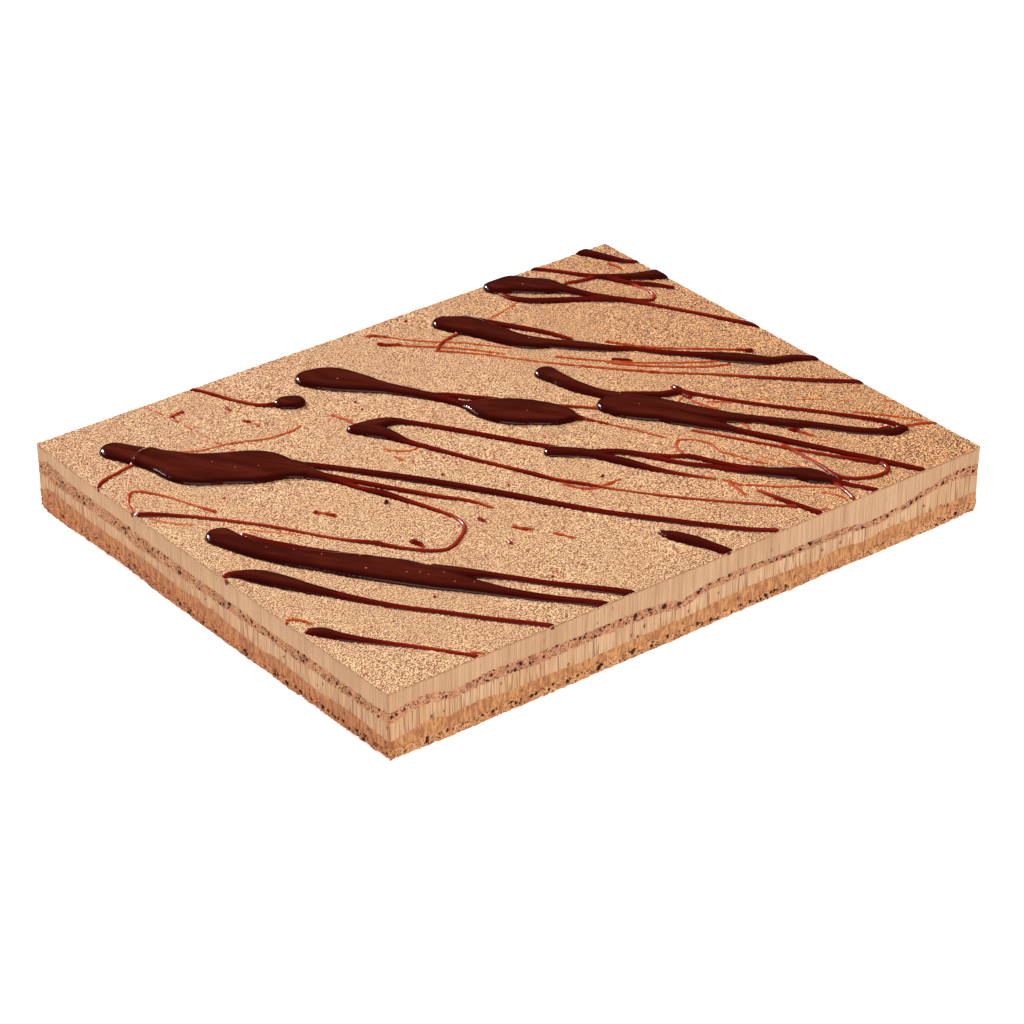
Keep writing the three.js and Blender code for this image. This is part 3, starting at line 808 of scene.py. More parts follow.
# %% Base
CHIP_REACH = 16  # mm from a corner within which it is chipped
FOOT_BACK = 1.8  # mm that the flat underside starts in from the torn edge
FOOT_CHIP = 1.5  # mm more at a corner
LEAST_TORN = 0.05  # mm that the torn edge stands above the board at least


def chipped(x, y):
    """How near a corner each place is, from 0 to 1."""
    gap = np.minimum(abs(x), abs(LENGTH - x)) + np.minimum(abs(y), abs(DEPTH - y))
    return np.clip(1 - gap / CHIP_REACH, 0, 1)


def torn_edge(along):
    """How high above the board the crumb is torn, round the cut sides."""
    place, _ = rim_place(along)
    ragged = uneven(flat_points(*place.T), (0.55, 4.2, 13), (0.3, 1.5, 14))
    return np.clip(rim_height(BASE_EDGE, along) + ragged, LEAST_TORN, None)


def base_cut(points, share):
    crumb = uneven(points, (0.35, 1.3, 10), (0.45, 3.6, 11))
    chips = chipped(points[:, 0], points[:, 1])
    return 0.3 + crumb + (0.15 + chips) * (1 - share) ** 3


def base_foot(verts):
    """Draws the torn edge in and down to the board."""
    place = np.array([(vert.co.x / MM + LENGTH / 2, vert.co.y / MM + DEPTH / 2) for vert in verts])
    core = np.clip(place, CHIP_REACH, (LENGTH - CHIP_REACH, DEPTH - CHIP_REACH))
    inward = (core - place) / np.linalg.norm(core - place, axis=1, keepdims=True)
    back = FOOT_BACK + uneven(flat_points(*place.T), (0.5, 6, 12))
    back += FOOT_CHIP * chipped(*place.T)
    foot = place + inward * back[:, None]
    for vert, point in zip(verts, in_metres(flat_points(*foot.T))):
        vert.co = point


BASE_HOLES = on_long_side(
    (125, 2.8, 1.1), (146, 3.3, 1.3), (147, 4.2, 0.8), (158, 2.2, 0.9), (168, 3.3, 0.8),
    (187, 3.5, 1), (190, 2.4, 0.8), (195.5, 2.7, 1), (205, 4.7, 0.7), (215, 4, 0.8), (221, 3.4, 1),
    (230.5, 4, 0.8), (234.5, 4, 1), (244, 4.2, 0.8), (22, 3, 1.2), (34, 4, 0.9), (61, 3.4, 1),
    (72, 4.4, 1), (84, 3.2, 1.2), (97, 4.4, 0.9), (112, 3.4, 0.8),
)
BASE_HOLES += on_short_side(
    (3, 3.5, 0.8), (12, 4.3, 0.8), (20, 4.8, 1.1), (26, 4.8, 1.1), (37, 4, 0.8), (43, 3.2, 0.9),
    (48.5, 4, 1), (53, 3.7, 1.2), (62, 3.6, 0.8), (71, 2.6, 1.2), (74.5, 4, 0.9), (83, 2.4, 1),
    (89.5, 3.4, 0.9), (92, 5.2, 1.2),
)
NEAR_BOARD = {"long": [(0, 0.8), (LENGTH, 0.8)], "short": [(0, 0.8), (DEPTH, 0.8)]}
BASE_HOLES += scattered(330, NEAR_BOARD, CRUNCH_BOTTOM, 0.35, 1.2, 25)

build_layer("base_sponge_face", torn_edge, wobbly(CRUNCH_BOTTOM), (0, CRUNCH_BOTTOM["level"]),
            base_cut, BASE_HOLES, 0.9, (base_crumb, "base_crumb", "base_sponge"), base_foot)

# %% [markdown]
# ## Where the top lies
# The top of the cake is level, but the knife has dragged its edge down a little along the two near
# sides. The velvet, the chocolate on it and every crumb have to agree on how high it is, so one
# function tells it for any place.

# %% Where the top of the cake is
DIP_REACH = 5  # mm in from a cut side over which the velvet rounds down


def nearest_rim(x, y):
    """The distance to the nearest cut side, and how far round the sheet that is."""
    gaps = np.stack([y, LENGTH - x, DEPTH - y, x])
    ways = np.stack([x, LENGTH + y, 2 * LENGTH + DEPTH - x, ROUND_TRIP - y])
    side = gaps.argmin(0)
    pick = np.arange(len(x))
    return gaps[side, pick], np.clip(ways[side, pick], 0, ROUND_TRIP)


def velvet_level(x, y):
    """The height of the velvet without its grain: level, and rounded down to the cut edges."""
    gap, along = nearest_rim(x, y)
    dip = dragged_down(along) * np.exp(-(np.maximum(gap, 0) / DIP_REACH) ** 2)
    return TOP - dip + uneven(flat_points(x, y), (0.2, 45, 15))


print("velvet in the middle and at the near corner:",
      velvet_level(np.array([LENGTH / 2, 0]), np.array([DEPTH / 2, 0])).round(2), "mm")

# %% [markdown]
# ## The look of the velvet
# Cocoa butter sprayed on frozen mousse sets to a matt skin of grains a good millimetre across, pale
# on top and rusty brown in the hollows between them, where painted shade darkens the colour further.
# The hollows are darker towards the right side, and the far end is a shade darker too. A picture of
# velvet would blur close up, so the grain is noise, cut hard between its light and its dark tone.
# Where the knife cut through it the skin shows as a thin orange-brown line.

# %% Velvet material
velvet = Recipe("sprayed_velvet", Roughness=0.8)
place = velvet.place()
grain = velvet.speckle(place, 0.72, 1.5, 0.5, 0.3)
dust = velvet.speckle(place, 0.4, 2)
patch = velvet.speckle(place, 30, 2)
peaks = velvet.between(grain * 0.85 + dust * 0.15, 0.41, 0.55)
# the hollows turn darker towards the right side
towards_right = velvet.towards(place, (1, -0.1, 0), -0.03, 0.2)
# the hollows between the grains: their own rusty brown, darkened further as painted shade
shaded_rusty_hollow = velvet.mix(towards_right, tone(150, 54, 12), tone(84, 20, 5))
peak = velvet.mix(towards_right, tone(252, 211, 160), tone(255, 189, 131))
coat = velvet.mix(peaks, shaded_rusty_hollow, peak)
shaded = velvet.mix(velvet.between(patch, 0.35, 0.7) * 0.25, coat, tone(206, 150, 104))
fleck = velvet.between(velvet.cells(place, 4.5), 0.09, 0.05)
flecked = velvet.mix(fleck * 0.75, shaded, tone(140, 70, 42))
# the far end is tinted a shade darker
darker_towards_back = velvet.tinted(velvet.towards(place, (0, 1, 0), 0, 0.16), flecked, (0.96, 0.94, 0.94, 1))
edge_line = velvet.mix(grain, tone(208, 144, 92), tone(226, 170, 118))
velvet.finish(
    Base_Color=velvet.mix(velvet.between(velvet.attribute("cut"), 0.05, 0.5), darker_towards_back, edge_line),
    Normal=velvet.bump(peaks * 0.8 + dust * 0.2, 0.65),
)

# %% [markdown]
# ## The velvet coat
# A flat plane with bump alone would look flat from low down. So the coat is a thin slab whose top is
# a fine grid with real grain, and the material adds the finest part. Its outline is a little ragged,
# as a knife leaves it, and it is drawn down by its own thickness and closed from below.

# %% Velvet coat
GRID = 1.1  # mm between the points of the coat
GRAIN = (-0.05, 0.35)  # mm that a grain stands above the level, from the lowest to the highest

bm = bmesh.new()
bmesh.ops.create_grid(bm, x_segments=round(LENGTH / GRID), y_segments=round(DEPTH / GRID), size=1)
flat = np.array([vert.co for vert in bm.verts])
x, y = ((flat[:, :2] / np.abs(flat[:, :2]).max(0)) * 0.5 + 0.5).T * ((LENGTH,), (DEPTH,))
on_edge = np.array([vert.is_boundary for vert in bm.verts])
outline, out = rounded(x[on_edge], y[on_edge])
ragged = uneven(flat_points(*outline.T), (0.2, 1.6, 16)) + 0.1
x[on_edge], y[on_edge] = (outline + out * ragged[:, None]).T
points = np.column_stack([x, y, velvet_level(x, y)])
draw = np.random.default_rng(17)
points[:, 2] += uneven(points, (0.14, 2.3, 18)) + draw.uniform(*GRAIN, len(points))
set_points(bm, points)
set_layer(bm, "cut", np.zeros(len(points)))
cut = bm.verts.layers.float["cut"]
rim = [edge for edge in bm.edges if edge.is_boundary]
for edge in rim:
    edge.smooth = False
grown = bmesh.ops.extrude_edge_only(bm, edges=rim)
for vert in new_verts(grown):
    vert.co.z -= COAT * MM
    vert[cut] = 1
bmesh.ops.contextual_create(bm, geom=new_edges(grown))
make_piece(bm, "velvet_coat", velvet.material, "velvet_mousse", "mousse_top")

# %% [markdown]
# ## The runs of chocolate
# The chocolate was poured in swings across the sheet: thick pools where the spoon paused, drawn out
# into tails. Each run is written down as a maker would trace it, with a few places along its middle
# and half its width there, in millimetres from the near corner. They are the same runs that the
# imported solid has. A run that goes past a side is cut off there.

# %% Runs
LEFT_RUNS = [
    # The pool near the left corner, and the three tails that it draws out into.
    [
        (26.5, 267.7, 7.9), (34.8, 252.6, 9.1), (40.7, 241.5, 11.2), (47.4, 227.4, 15.2),
        (61.1, 217.8, 15.5), (73.7, 209.4, 15.8), (81.8, 200.9, 10.3), (88.6, 192.2, 6.7),
        (93, 183.9, 2.9),
    ],
    [
        (89.1, 199.8, 4), (98.1, 191.8, 2.8), (123.1, 158.8, 3.1), (150.1, 118.8, 2.9),
        (180.7, 68.9, 2.2), (195.6, 48.8, 2.4), (211.1, 28.8, 2.3), (226.9, 10.1, 2),
        (237.1, 1.3, 1.7),
    ],
    [
        (89.1, 189.8, 4), (99.1, 175.8, 2.3), (115.6, 148.8, 2), (128.1, 128.8, 1.8),
        (137.1, 116.8, 1.4), (142.1, 104.8, 0.9),
    ],
    [
        (90.1, 186.8, 4.5), (97.1, 174.8, 2.6), (102.1, 160.8, 1.8), (108.1, 148.8, 2.7),
        (112.1, 137.8, 2), (118.1, 120.8, 1.5), (121.6, 107.8, 1.3), (120.1, 98.8, 1.3),
        (110.1, 90.3, 1.3), (100.1, 86.3, 1.4), (92.1, 90.3, 1.5), (83.1, 100.8, 1.5),
        (75.6, 112.8, 1.9), (65.2, 125.6, 1.2), (45, 157.3, 1.3), (23.1, 185.8, 1.4),
        (8.1, 201.3, 1.9), (-4.9, 213.8, 2.2),
    ],
    [(-4.9, 240.8, 1.4), (5.1, 246, 1.4), (15.1, 248.3, 1.2), (31.1, 251.8, 1.3)],
    # The line that falls from the far side into a round drop.
    [
        (93.1, 303.8, 1.5), (100.1, 288.8, 1.5), (106.6, 272.8, 1.4), (113.1, 262.3, 1.6),
        (121.1, 257.3, 3),
    ],
    [(124.4, 256.1, 6.3), (128.1, 254, 6.5)],
    # The thick run that starts in a blob by the short near side and forks.
    [
        (19.9, 163.6, 7.8), (22, 154.6, 7.2), (26.4, 142.2, 6.9), (34.5, 128.1, 7.6),
        (45.8, 112.8, 8.6), (58, 96.7, 10.2), (68.5, 82.8, 10.8), (78.3, 66.4, 8.7), (89.1, 49, 5.5),
        (96.8, 36.6, 4), (110.5, 18.6, 3), (134.1, -7.2, 2.4),
    ],
    [
        (30.1, 158.8, 1.6), (33.1, 148.8, 2.5), (45.6, 128.8, 2.4), (59.1, 109.8, 2.6),
        (65.1, 101.8, 3),
    ],
    [
        (83.1, 74.9, 4.2), (90.9, 65.3, 4.2), (105, 48.4, 2.6), (118.6, 29.8, 2.4), (136.1, 8.8, 2.7),
        (149.1, -6.2, 2.4),
    ],
    # The two short hooks by the near corner, and the spindle on the long near side.
    [
        (-5.9, 126.8, 1.3), (1.1, 133.3, 1.6), (7.3, 128.5, 3.3), (12.9, 121.1, 5.6),
        (19.2, 109.9, 5.5), (25.1, 98.3, 4.3), (36.1, 78.8, 2.7), (48.5, 58.9, 2.1),
        (64.1, 39.3, 1.9), (79.4, 18.8, 1.9), (100.1, -5.2, 1.8),
    ],
    [
        (3.4, 66.9, 2.1), (7.1, 62.3, 3.6), (11.8, 53.6, 3.2), (16.8, 46.1, 2.8), (23.9, 37.1, 2),
        (38.1, 19.3, 1.4), (55.1, -5.2, 1.5),
    ],
    [(191.6, 33.3, 2.4), (194.1, 27.3, 4), (198.6, 17.5, 4.2), (202.7, 7.5, 3.3), (208.1, -7.2, 3)],
]
MIDDLE_RUNS = [
    # The fork in the middle of the sheet.
    [
        (135.6, 211.3, 4.2), (141.1, 204.8, 5.8), (145.7, 196.6, 4.7), (149.4, 183.7, 2.4),
        (155.6, 168.8, 2), (163.9, 150.2, 1.7), (171.8, 133.7, 1.5), (178.6, 118.8, 1.9),
        (184.5, 106, 1.5), (191.7, 95.7, 1.6), (202.1, 79.8, 1), (221.1, 54.8, 1.1),
        (244.6, 28.8, 1.1), (260.1, 12.8, 1.3),
    ],
    [
        (139.1, 210.8, 4.6), (148.5, 208.3, 5.1), (155.4, 206.5, 3.8), (162.6, 198.8, 2.5),
        (176.1, 178.8, 2.2), (194.1, 148.8, 2.1), (204.6, 132.3, 2),
    ],
    # The two linked pools behind it.
    [
        (150, 269.7, 8.7), (157.6, 263.7, 11.8), (164.7, 253.1, 9.9), (174.4, 237.8, 5.5),
        (182.8, 224.2, 4.4), (190.6, 210.1, 3.2), (196.6, 196.8, 3.8), (203.4, 184.6, 10.2),
        (211.2, 175.4, 13.3), (219, 167.6, 12.1), (225.9, 159.1, 9.9), (231.2, 153, 4.5),
        (236.1, 146.8, 1.2),
    ],
    [(187.1, 217.8, 2.6), (196.1, 210.8, 2.3), (204.1, 201.3, 2.3), (213.1, 191.8, 1.8)],
    [(228.1, 173.8, 1.3), (236.1, 164.8, 1.3), (251.1, 148.8, 1.2)],
    # The run that braids and gathers into a pool by the long near side.
    [
        (200.2, 130, 4.6), (205.6, 125.3, 4.6), (212.8, 118.2, 4.1), (218.1, 108.6, 3.3),
        (223.4, 98, 3.4), (228.4, 87, 2.5), (235.6, 74.1, 1.7), (247.1, 58.3, 0.9),
    ],
    [
        (216.1, 117.8, 2.4), (225.1, 111.3, 2.6), (232.1, 102.8, 2.6), (238.1, 91.8, 1.9),
        (245.6, 78.8, 2), (253.6, 68.8, 2.2), (261.1, 57.3, 2.3), (270.2, 48.9, 3.8),
        (276, 42.7, 4.7), (283.1, 36.3, 5.4), (286.8, 30.1, 6.4), (290.6, 23.3, 4.2),
        (294.1, 15.8, 2.2), (305.1, -4.2, 2),
    ],
    [
        (234.1, 100.8, 1.8), (245.1, 89.3, 1.8), (251.6, 83.8, 2.3), (257.1, 73.8, 2.1),
        (265.1, 59.3, 2), (272.1, 50.8, 2.6),
    ],
    [(291.1, 18.8, 1.5), (290.6, 10.8, 1.4), (286.1, -6.2, 1.3)],
    [(256.4, 36.8, 1), (258.1, 28.8, 1.4), (260.1, 18.8, 2), (263.1, 8.8, 2), (266.6, -6.2, 2)],
    [
        (297.1, 64.8, 1.2), (298.1, 38.8, 1.2), (298.1, 19.8, 1.7), (306.1, 12.8, 1.6),
        (315.1, 9.8, 1.6), (322.1, 12.3, 1.5), (324.1, 19.8, 1.7),
    ],
    [(271.1, 103.8, 1.1), (294.1, 63.8, 1.3), (307.1, 42.8, 1.4), (321.1, 20.8, 1.9)],
]
RIGHT_RUNS = [
    # The neck that runs into the forked pool, and the tails of that pool.
    [
        (251.1, 198.3, 6.6), (252.2, 189, 5.7), (254.1, 176.8, 5.1), (258.5, 164.5, 4.3),
        (263.1, 155.8, 4.6),
    ],
    [
        (255.6, 149.4, 8.5), (261.6, 143, 11.9), (267.1, 135.2, 11.8), (271.2, 128.4, 9.8),
        (272.8, 119.4, 6.9), (281.1, 103.8, 5.2), (290.1, 86.8, 2.7), (299.6, 68.8, 2.8),
        (315.4, 38.7, 2.3), (325.1, 19.3, 2.5), (338.1, -6.2, 1.9),
    ],
    [
        (273.6, 134.6, 7.6), (278.9, 126.6, 6.6), (287.2, 112.6, 5.8), (296.9, 98.9, 4.7),
        (305.6, 90.2, 3.7), (312.9, 80.1, 4.4), (323.7, 69, 3.3), (335.7, 52.9, 3.2),
        (344.4, 43.6, 3.3), (351, 38.5, 3.5), (357.1, 38.3, 3),
    ],
    [
        (268.1, 155.8, 2.4), (276.1, 148.8, 3), (284.1, 142.8, 3), (292.1, 139.8, 2.8),
        (297.6, 132.3, 1.9), (305.8, 118.8, 1.7), (319.1, 99.3, 1.8), (335.1, 78.8, 1.7),
        (349.1, 58.8, 2), (355.6, 47.8, 2.3), (357.6, 39.8, 2),
    ],
    [(294.6, 147.8, 1), (294.4, 141.8, 2.4), (293.1, 131.8, 1.8)],
    # The long run across the far half, and the line that crosses it.
    [
        (244, 276.7, 7.4), (249.6, 269, 9.4), (254.4, 259.3, 8.8), (261.4, 239.6, 7),
        (267, 230.1, 6.3), (275.2, 222.4, 4.4), (284.4, 212, 4.7), (295.3, 200, 3.4),
        (305.5, 191.2, 2.3), (315.2, 178, 2.5), (329.1, 163.3, 3.2), (337, 153.7, 4.8),
        (345.6, 144.3, 4.8), (353.6, 136, 3.8), (364.7, 131, 3.4), (378.1, 120.8, 1.9),
    ],
    [
        (256.1, 274.8, 3.4), (263.1, 263.8, 2.8), (272.6, 248.8, 2.4), (280.1, 236.3, 2.1),
        (286.1, 221.3, 1.7),
    ],
    [(222.1, 254.8, 1.2), (228.1, 259.5, 1.3), (235.1, 262.3, 1.2), (245.1, 263.3, 1.3)],
    [
        (299.2, 162.4, 0.9), (319.4, 143.6, 1.1), (339.1, 122.8, 1.6), (359.1, 103.3, 2),
        (379.1, 85.3, 2.2),
    ],
    # The pool on the long far side, its two tails, and the runs in the far corner.
    [
        (293.7, 294.1, 8.4), (301.2, 291.2, 9.5), (307, 284.7, 8.6), (313.8, 278.1, 8.2),
        (319.1, 270.3, 4.8), (326.6, 256.8, 2.9), (335.1, 242.5, 2.6), (344.1, 228.8, 1.8),
        (359.2, 202.1, 1.6), (371.1, 178.8, 2), (379.1, 163.8, 2.2),
    ],
    [
        (289.6, 286.8, 1.3), (291.4, 278.3, 2.3), (296.6, 270.3, 2.9), (308.1, 261.8, 2.9),
        (322.1, 252.3, 2.6), (335.1, 241.8, 2.7), (345.1, 232.8, 1.8), (351.1, 230.1, 1.4),
        (355.6, 235.3, 1.2), (355.1, 245.8, 1), (351.1, 260.8, 1.4),
    ],
    [
        (319.1, 304.8, 2.2), (332.1, 287.8, 1.8), (341.6, 273.8, 2.2), (349.1, 265.8, 3.2),
        (359.1, 258.8, 3.5), (367.1, 254.3, 4.6), (383.1, 246.8, 6.5),
    ],
    [(321.1, 271.8, 1.6), (326.1, 274.1, 1.5), (334.1, 271.8, 1.6), (343.1, 270.8, 1.7)],
    [(348.1, 264.8, 2), (354.1, 253.3, 2.2), (362.1, 244.1, 2.4), (368.6, 234.8, 1.8)],
    [
        (354.1, 305.8, 4), (360.1, 293.3, 3.8), (365.1, 282.8, 3.2), (370.1, 274.3, 2.1),
        (379.1, 268.8, 1.2),
    ],
]


def smooth_route(stations, spacing):
    """The stations of a run joined by an even curve, as rows of x, y and half-width. Each stretch is
    a Bezier curve whose handles follow from the two stations before it and the two after."""
    knots = np.array(stations, float)
    knots = np.vstack([2 * knots[0] - knots[1], knots, 2 * knots[-1] - knots[-2]])
    route = []
    for before, start, end, after in zip(knots, knots[1:], knots[2:], knots[3:]):
        in_lag, lag, out_lag = (
            math.sqrt(np.linalg.norm(step)) for step in (start - before, end - start, after - end)
        )
        straight = (end - start) / lag
        leave = (start - before) / in_lag - (end - before) / (in_lag + lag) + straight
        arrive = straight - (after - start) / (lag + out_lag) + (after - end) / out_lag
        count = max(2, round(np.linalg.norm(end - start) / spacing))
        handles = start + leave * lag / 3, end - arrive * lag / 3
        curve = geometry.interpolate_bezier(*map(Vector, (start, *handles, end)), count + 1)
        route += curve[:-1]
    return np.array([*route, knots[-2]])


RUN_SPACING = 2.5  # mm between the places of a smoothed run
all_routes = [smooth_route(run, RUN_SPACING) for run in LEFT_RUNS + MIDDLE_RUNS + RIGHT_RUNS]
print(len(all_routes), "runs, smoothed to", sum(map(len, all_routes)), "places")

# %% [markdown]
# ## How melted chocolate stands
# A puddle is flat on top and steep at its rim, and a wide one is hardly thicker than a narrow one.
# So the height at a place follows from two numbers: how far in from the edge of a run it is, and how
# wide the run is there. Where runs lie side by side each keeps its own round back, with a groove
# between them, which is what makes the braids in the photograph.

# %% Height of the chocolate
RIM_REACH = 3  # mm from the edge of a pool within which it rises to its flat top
DOME = 0.06  # share of the height that a pool still gains towards its middle
DOME_REACH = 8  # mm in from its edge where it has gained it
FILLET = 1.2  # mm over which the outlines of two runs flow together
REACH = 6.0  # mm beyond its edge that a run is looked for
BACKS = 4  # the higher this power, the sharper the groove between two runs


def rise_of(half_width):
    return POOL_RISE * (1 - np.exp(-half_width / POOL_SPREAD))


def beside_run(x, y, route):
    """How far outside a run each place is, below 0 inside it, and its half-width there."""
    gap = np.full(len(x), 1e3)
    width = np.zeros(len(x))
    for start, end in zip(route, route[1:]):
        span = end[:2] - start[:2]
        share = ((x - start[0]) * span[0] + (y - start[1]) * span[1]) / max(span @ span, 1e-9)
        share = np.clip(share, 0, 1)
        half = start[2] + share * (end[2] - start[2])
        here = np.hypot(x - start[0] - share * span[0], y - start[1] - share * span[1]) - half
        closer = here < gap
        gap[closer], width[closer] = here[closer], half[closer]
    return gap, width


def spread(x, y, routes):
    """For places on the sheet: how far outside all chocolate they are, how high it stands, and how
    thick a run it belongs to."""
    gap = np.full(len(x), 1e3)
    height, weight, body = np.zeros(len(x)), np.full(len(x), 1e-12), np.zeros(len(x))
    for route in routes:
        low = (route[:, :2] - route[:, 2:]).min(0) - REACH
        high = (route[:, :2] + route[:, 2:]).max(0) + REACH
        near = np.flatnonzero((x > low[0]) & (x < high[0]) & (y > low[1]) & (y < high[1]))
        if not len(near):
            continue
        here, width = beside_run(x[near], y[near], route)
        blend = np.clip(FILLET - np.abs(gap[near] - here), 0, None) / FILLET
        gap[near] = np.minimum(gap[near], here) - blend * blend * FILLET / 4
        inside = np.clip(-here / np.minimum(width, RIM_REACH).clip(0.1), 0, 1)
        dome = 1 - DOME + DOME * np.clip(-here / DOME_REACH, 0, 1)
        own = (rise_of(width) * np.sqrt(inside * (2 - inside)) * dome) ** BACKS
        share = own + 1e-6 * np.exp(-np.clip(here, 0, 8))  # a trace outside, so it is never 0
        height[near] += own
        weight[near] += share
        body[near] += share * width
    return gap, height ** (1 / BACKS), body / weight


print("runs 2, 6 and 20 mm wide rise", rise_of(np.array([1, 3, 10])).round(2), "mm")

# %% [markdown]
# ## The outline of a pour
# Chocolate spreads unevenly on the grains of the velvet, so its outline wavers a little. Where a run
# reaches a cut side it was cut off with the cake, and it rounds off a hair before the edge. How far
# outside the outline a place is can be told for any place, and the slope of that distance points
# straight at the outline, which is how points are drawn onto it further on.

# %% Outline of a pour
SIDE_GAP = 0.1  # mm before a cut side where the chocolate ends
SIDE_ROUND = 1.8  # mm before its end where a run starts to round off
SIDE_LOW = 0.3  # share of its height that it still has there


def past_side(x, y):
    """How far past the nearest cut side each place is, below 0 on the sheet."""
    return np.max([-x, x - LENGTH, -y, y - DEPTH], axis=0)


def poured(x, y, routes):
    """As `spread`, with an uneven outline that stops at the cut sides."""
    gap, height, body = spread(x, y, routes)
    gap = gap + uneven(flat_points(x, y), (0.15, 5, 19))
    side = np.clip((-SIDE_GAP - past_side(x, y)) / SIDE_ROUND, 0, 1)
    height = height * (SIDE_LOW + (1 - SIDE_LOW) * np.sqrt(side * (2 - side)))
    return np.maximum(gap, past_side(x, y) + SIDE_GAP), height, body


def places(bm):
    """Where the points of a bmesh are, in millimetres from the near corner."""
    found = np.array([vert.co for vert in bm.verts]) / MM
    return found[:, 0] + LENGTH / 2, found[:, 1] + DEPTH / 2


def drawn_to_outline(x, y, routes):
    """Moves places near the outline of a pour onto it, by the slope of their distance from it."""
    step = 0.05  # mm over which the slope is measured
    for _ in range(2):
        here = poured(x, y, routes)[0]
        slope_x = (poured(x + step, y, routes)[0] - here) / step
        slope_y = (poured(x, y + step, routes)[0] - here) / step
        steep = np.maximum(slope_x ** 2 + slope_y ** 2, 0.3)
        x = x - here * slope_x / steep
        y = y - here * slope_y / steep
    return x, y


# %% [markdown]
# ## Folds and dimples
# Melted chocolate that lands on itself leaves a fold, and it sags a little where it set last. A
# few such lines are seen in the thick pools, and they catch the light, so they are added to the
# height. Everywhere else a very shallow unevenness is enough to break up the reflections.

# %% Folds
FOLDS = [  # places along the fold and its height, in millimetres
    [
        (27.1, 248.8, 0.2), (30.1, 252.8, 0.8), (35.1, 255.3, 0.9), (42.1, 255.8, 0.7),
        (51.1, 250.8, 0.2),
    ],
    [(76.1, 104.8, 0.1), (76.6, 110.8, 0.5), (77.6, 115.8, 0.1)],
    [(55.1, 210.8, 0.1), (67.1, 204.8, 0.3), (81.1, 198.8, 0.3), (89.1, 191.8, 0.1)],
    [(47.1, 234.8, 0.1), (53.1, 222.8, 0.3), (59.1, 210.8, 0.1)],
]
FOLD_WIDTH = 1.6  # mm


def folded(x, y):
    """The height that folds and dimples add to the chocolate."""
    added = uneven(flat_points(x, y), (0.07, 12, 20), (0.03, 4, 21))
    for fold in FOLDS:
        gap, height = beside_run(x, y, np.array(fold, float))
        added += height * np.exp(-((gap + height) / FOLD_WIDTH) ** 2)
    return added


# %% [markdown]
# ## Building a pour
# Sweeping a tube along each run would leave hard seams where runs meet. Instead a grid is laid over
# the sheet, its squares away from the chocolate are deleted, the rest are cut finer, and the outer
# points are drawn onto the outline. Then every point is lifted to the height of the puddle, and the
# rim is pushed down into the velvet and closed from below.

# %% Building a pour
COARSE = 1.5  # mm between the points of the first grid
FINER = 2  # cuts made in each of its edges
SUNK = 1.1  # mm that the rim of a pool is pushed into the velvet
THICKEST = 6.0  # mm of half-width from which the colour gets no deeper
FILM = 0.5  # mm that chocolate stands at least, a millimetre in from its edge
FLAT_FROM = 1.5  # mm in from the edge of a pool where it starts to lie flat
FLAT_OVER = 2.5  # mm over which it then goes over into its flat top
DROOP_FROM = 0.8  # mm before a cut side where a run starts to sag over the edge
DROOP = 0.5  # mm that it has sagged a millimetre further on
# painted shade deepens the colour at the rim of a run, and painted light takes part of it off along
# the crest
PAINTED_RIM_SHADE, PAINTED_CREST_LIGHT = 1.35, 0.5  # colour depth at a rim, and how much less it is along a crest
CREST_FROM = 0.9  # share of its full height at which a run counts as crest


def keep_near(bm, routes, limit):
    """Deletes the faces that lie further than `limit` outside the outline of a pour."""
    bm.verts.index_update()
    gap = poured(*places(bm), routes)[0]
    dry = [face for face in bm.faces if np.mean([gap[vert.index] for vert in face.verts]) > limit]
    bmesh.ops.delete(bm, geom=dry, context="FACES")


def cut_touching(bm):
    """Deletes the faces round points where two parts of the outline only just touch."""
    while touching := [v for v in bm.verts if sum(e.is_boundary for e in v.link_edges) > 2]:
        near = {face for vert in touching for face in vert.link_faces}
        bmesh.ops.delete(bm, geom=list(near), context="FACES")


def close_below(bm, level):
    """Extrudes the outline down to a level and fills the underside."""
    rim = [edge for edge in bm.edges if edge.is_boundary]
    grown = bmesh.ops.extrude_edge_only(bm, edges=rim)
    for vert in new_verts(grown):
        vert.co.z = level * MM
    bmesh.ops.triangle_fill(bm, use_beauty=False, edges=new_edges(grown), normal=(0, 0, -1))
    print("edges left open:", sum(len(edge.link_faces) != 2 for edge in bm.edges))


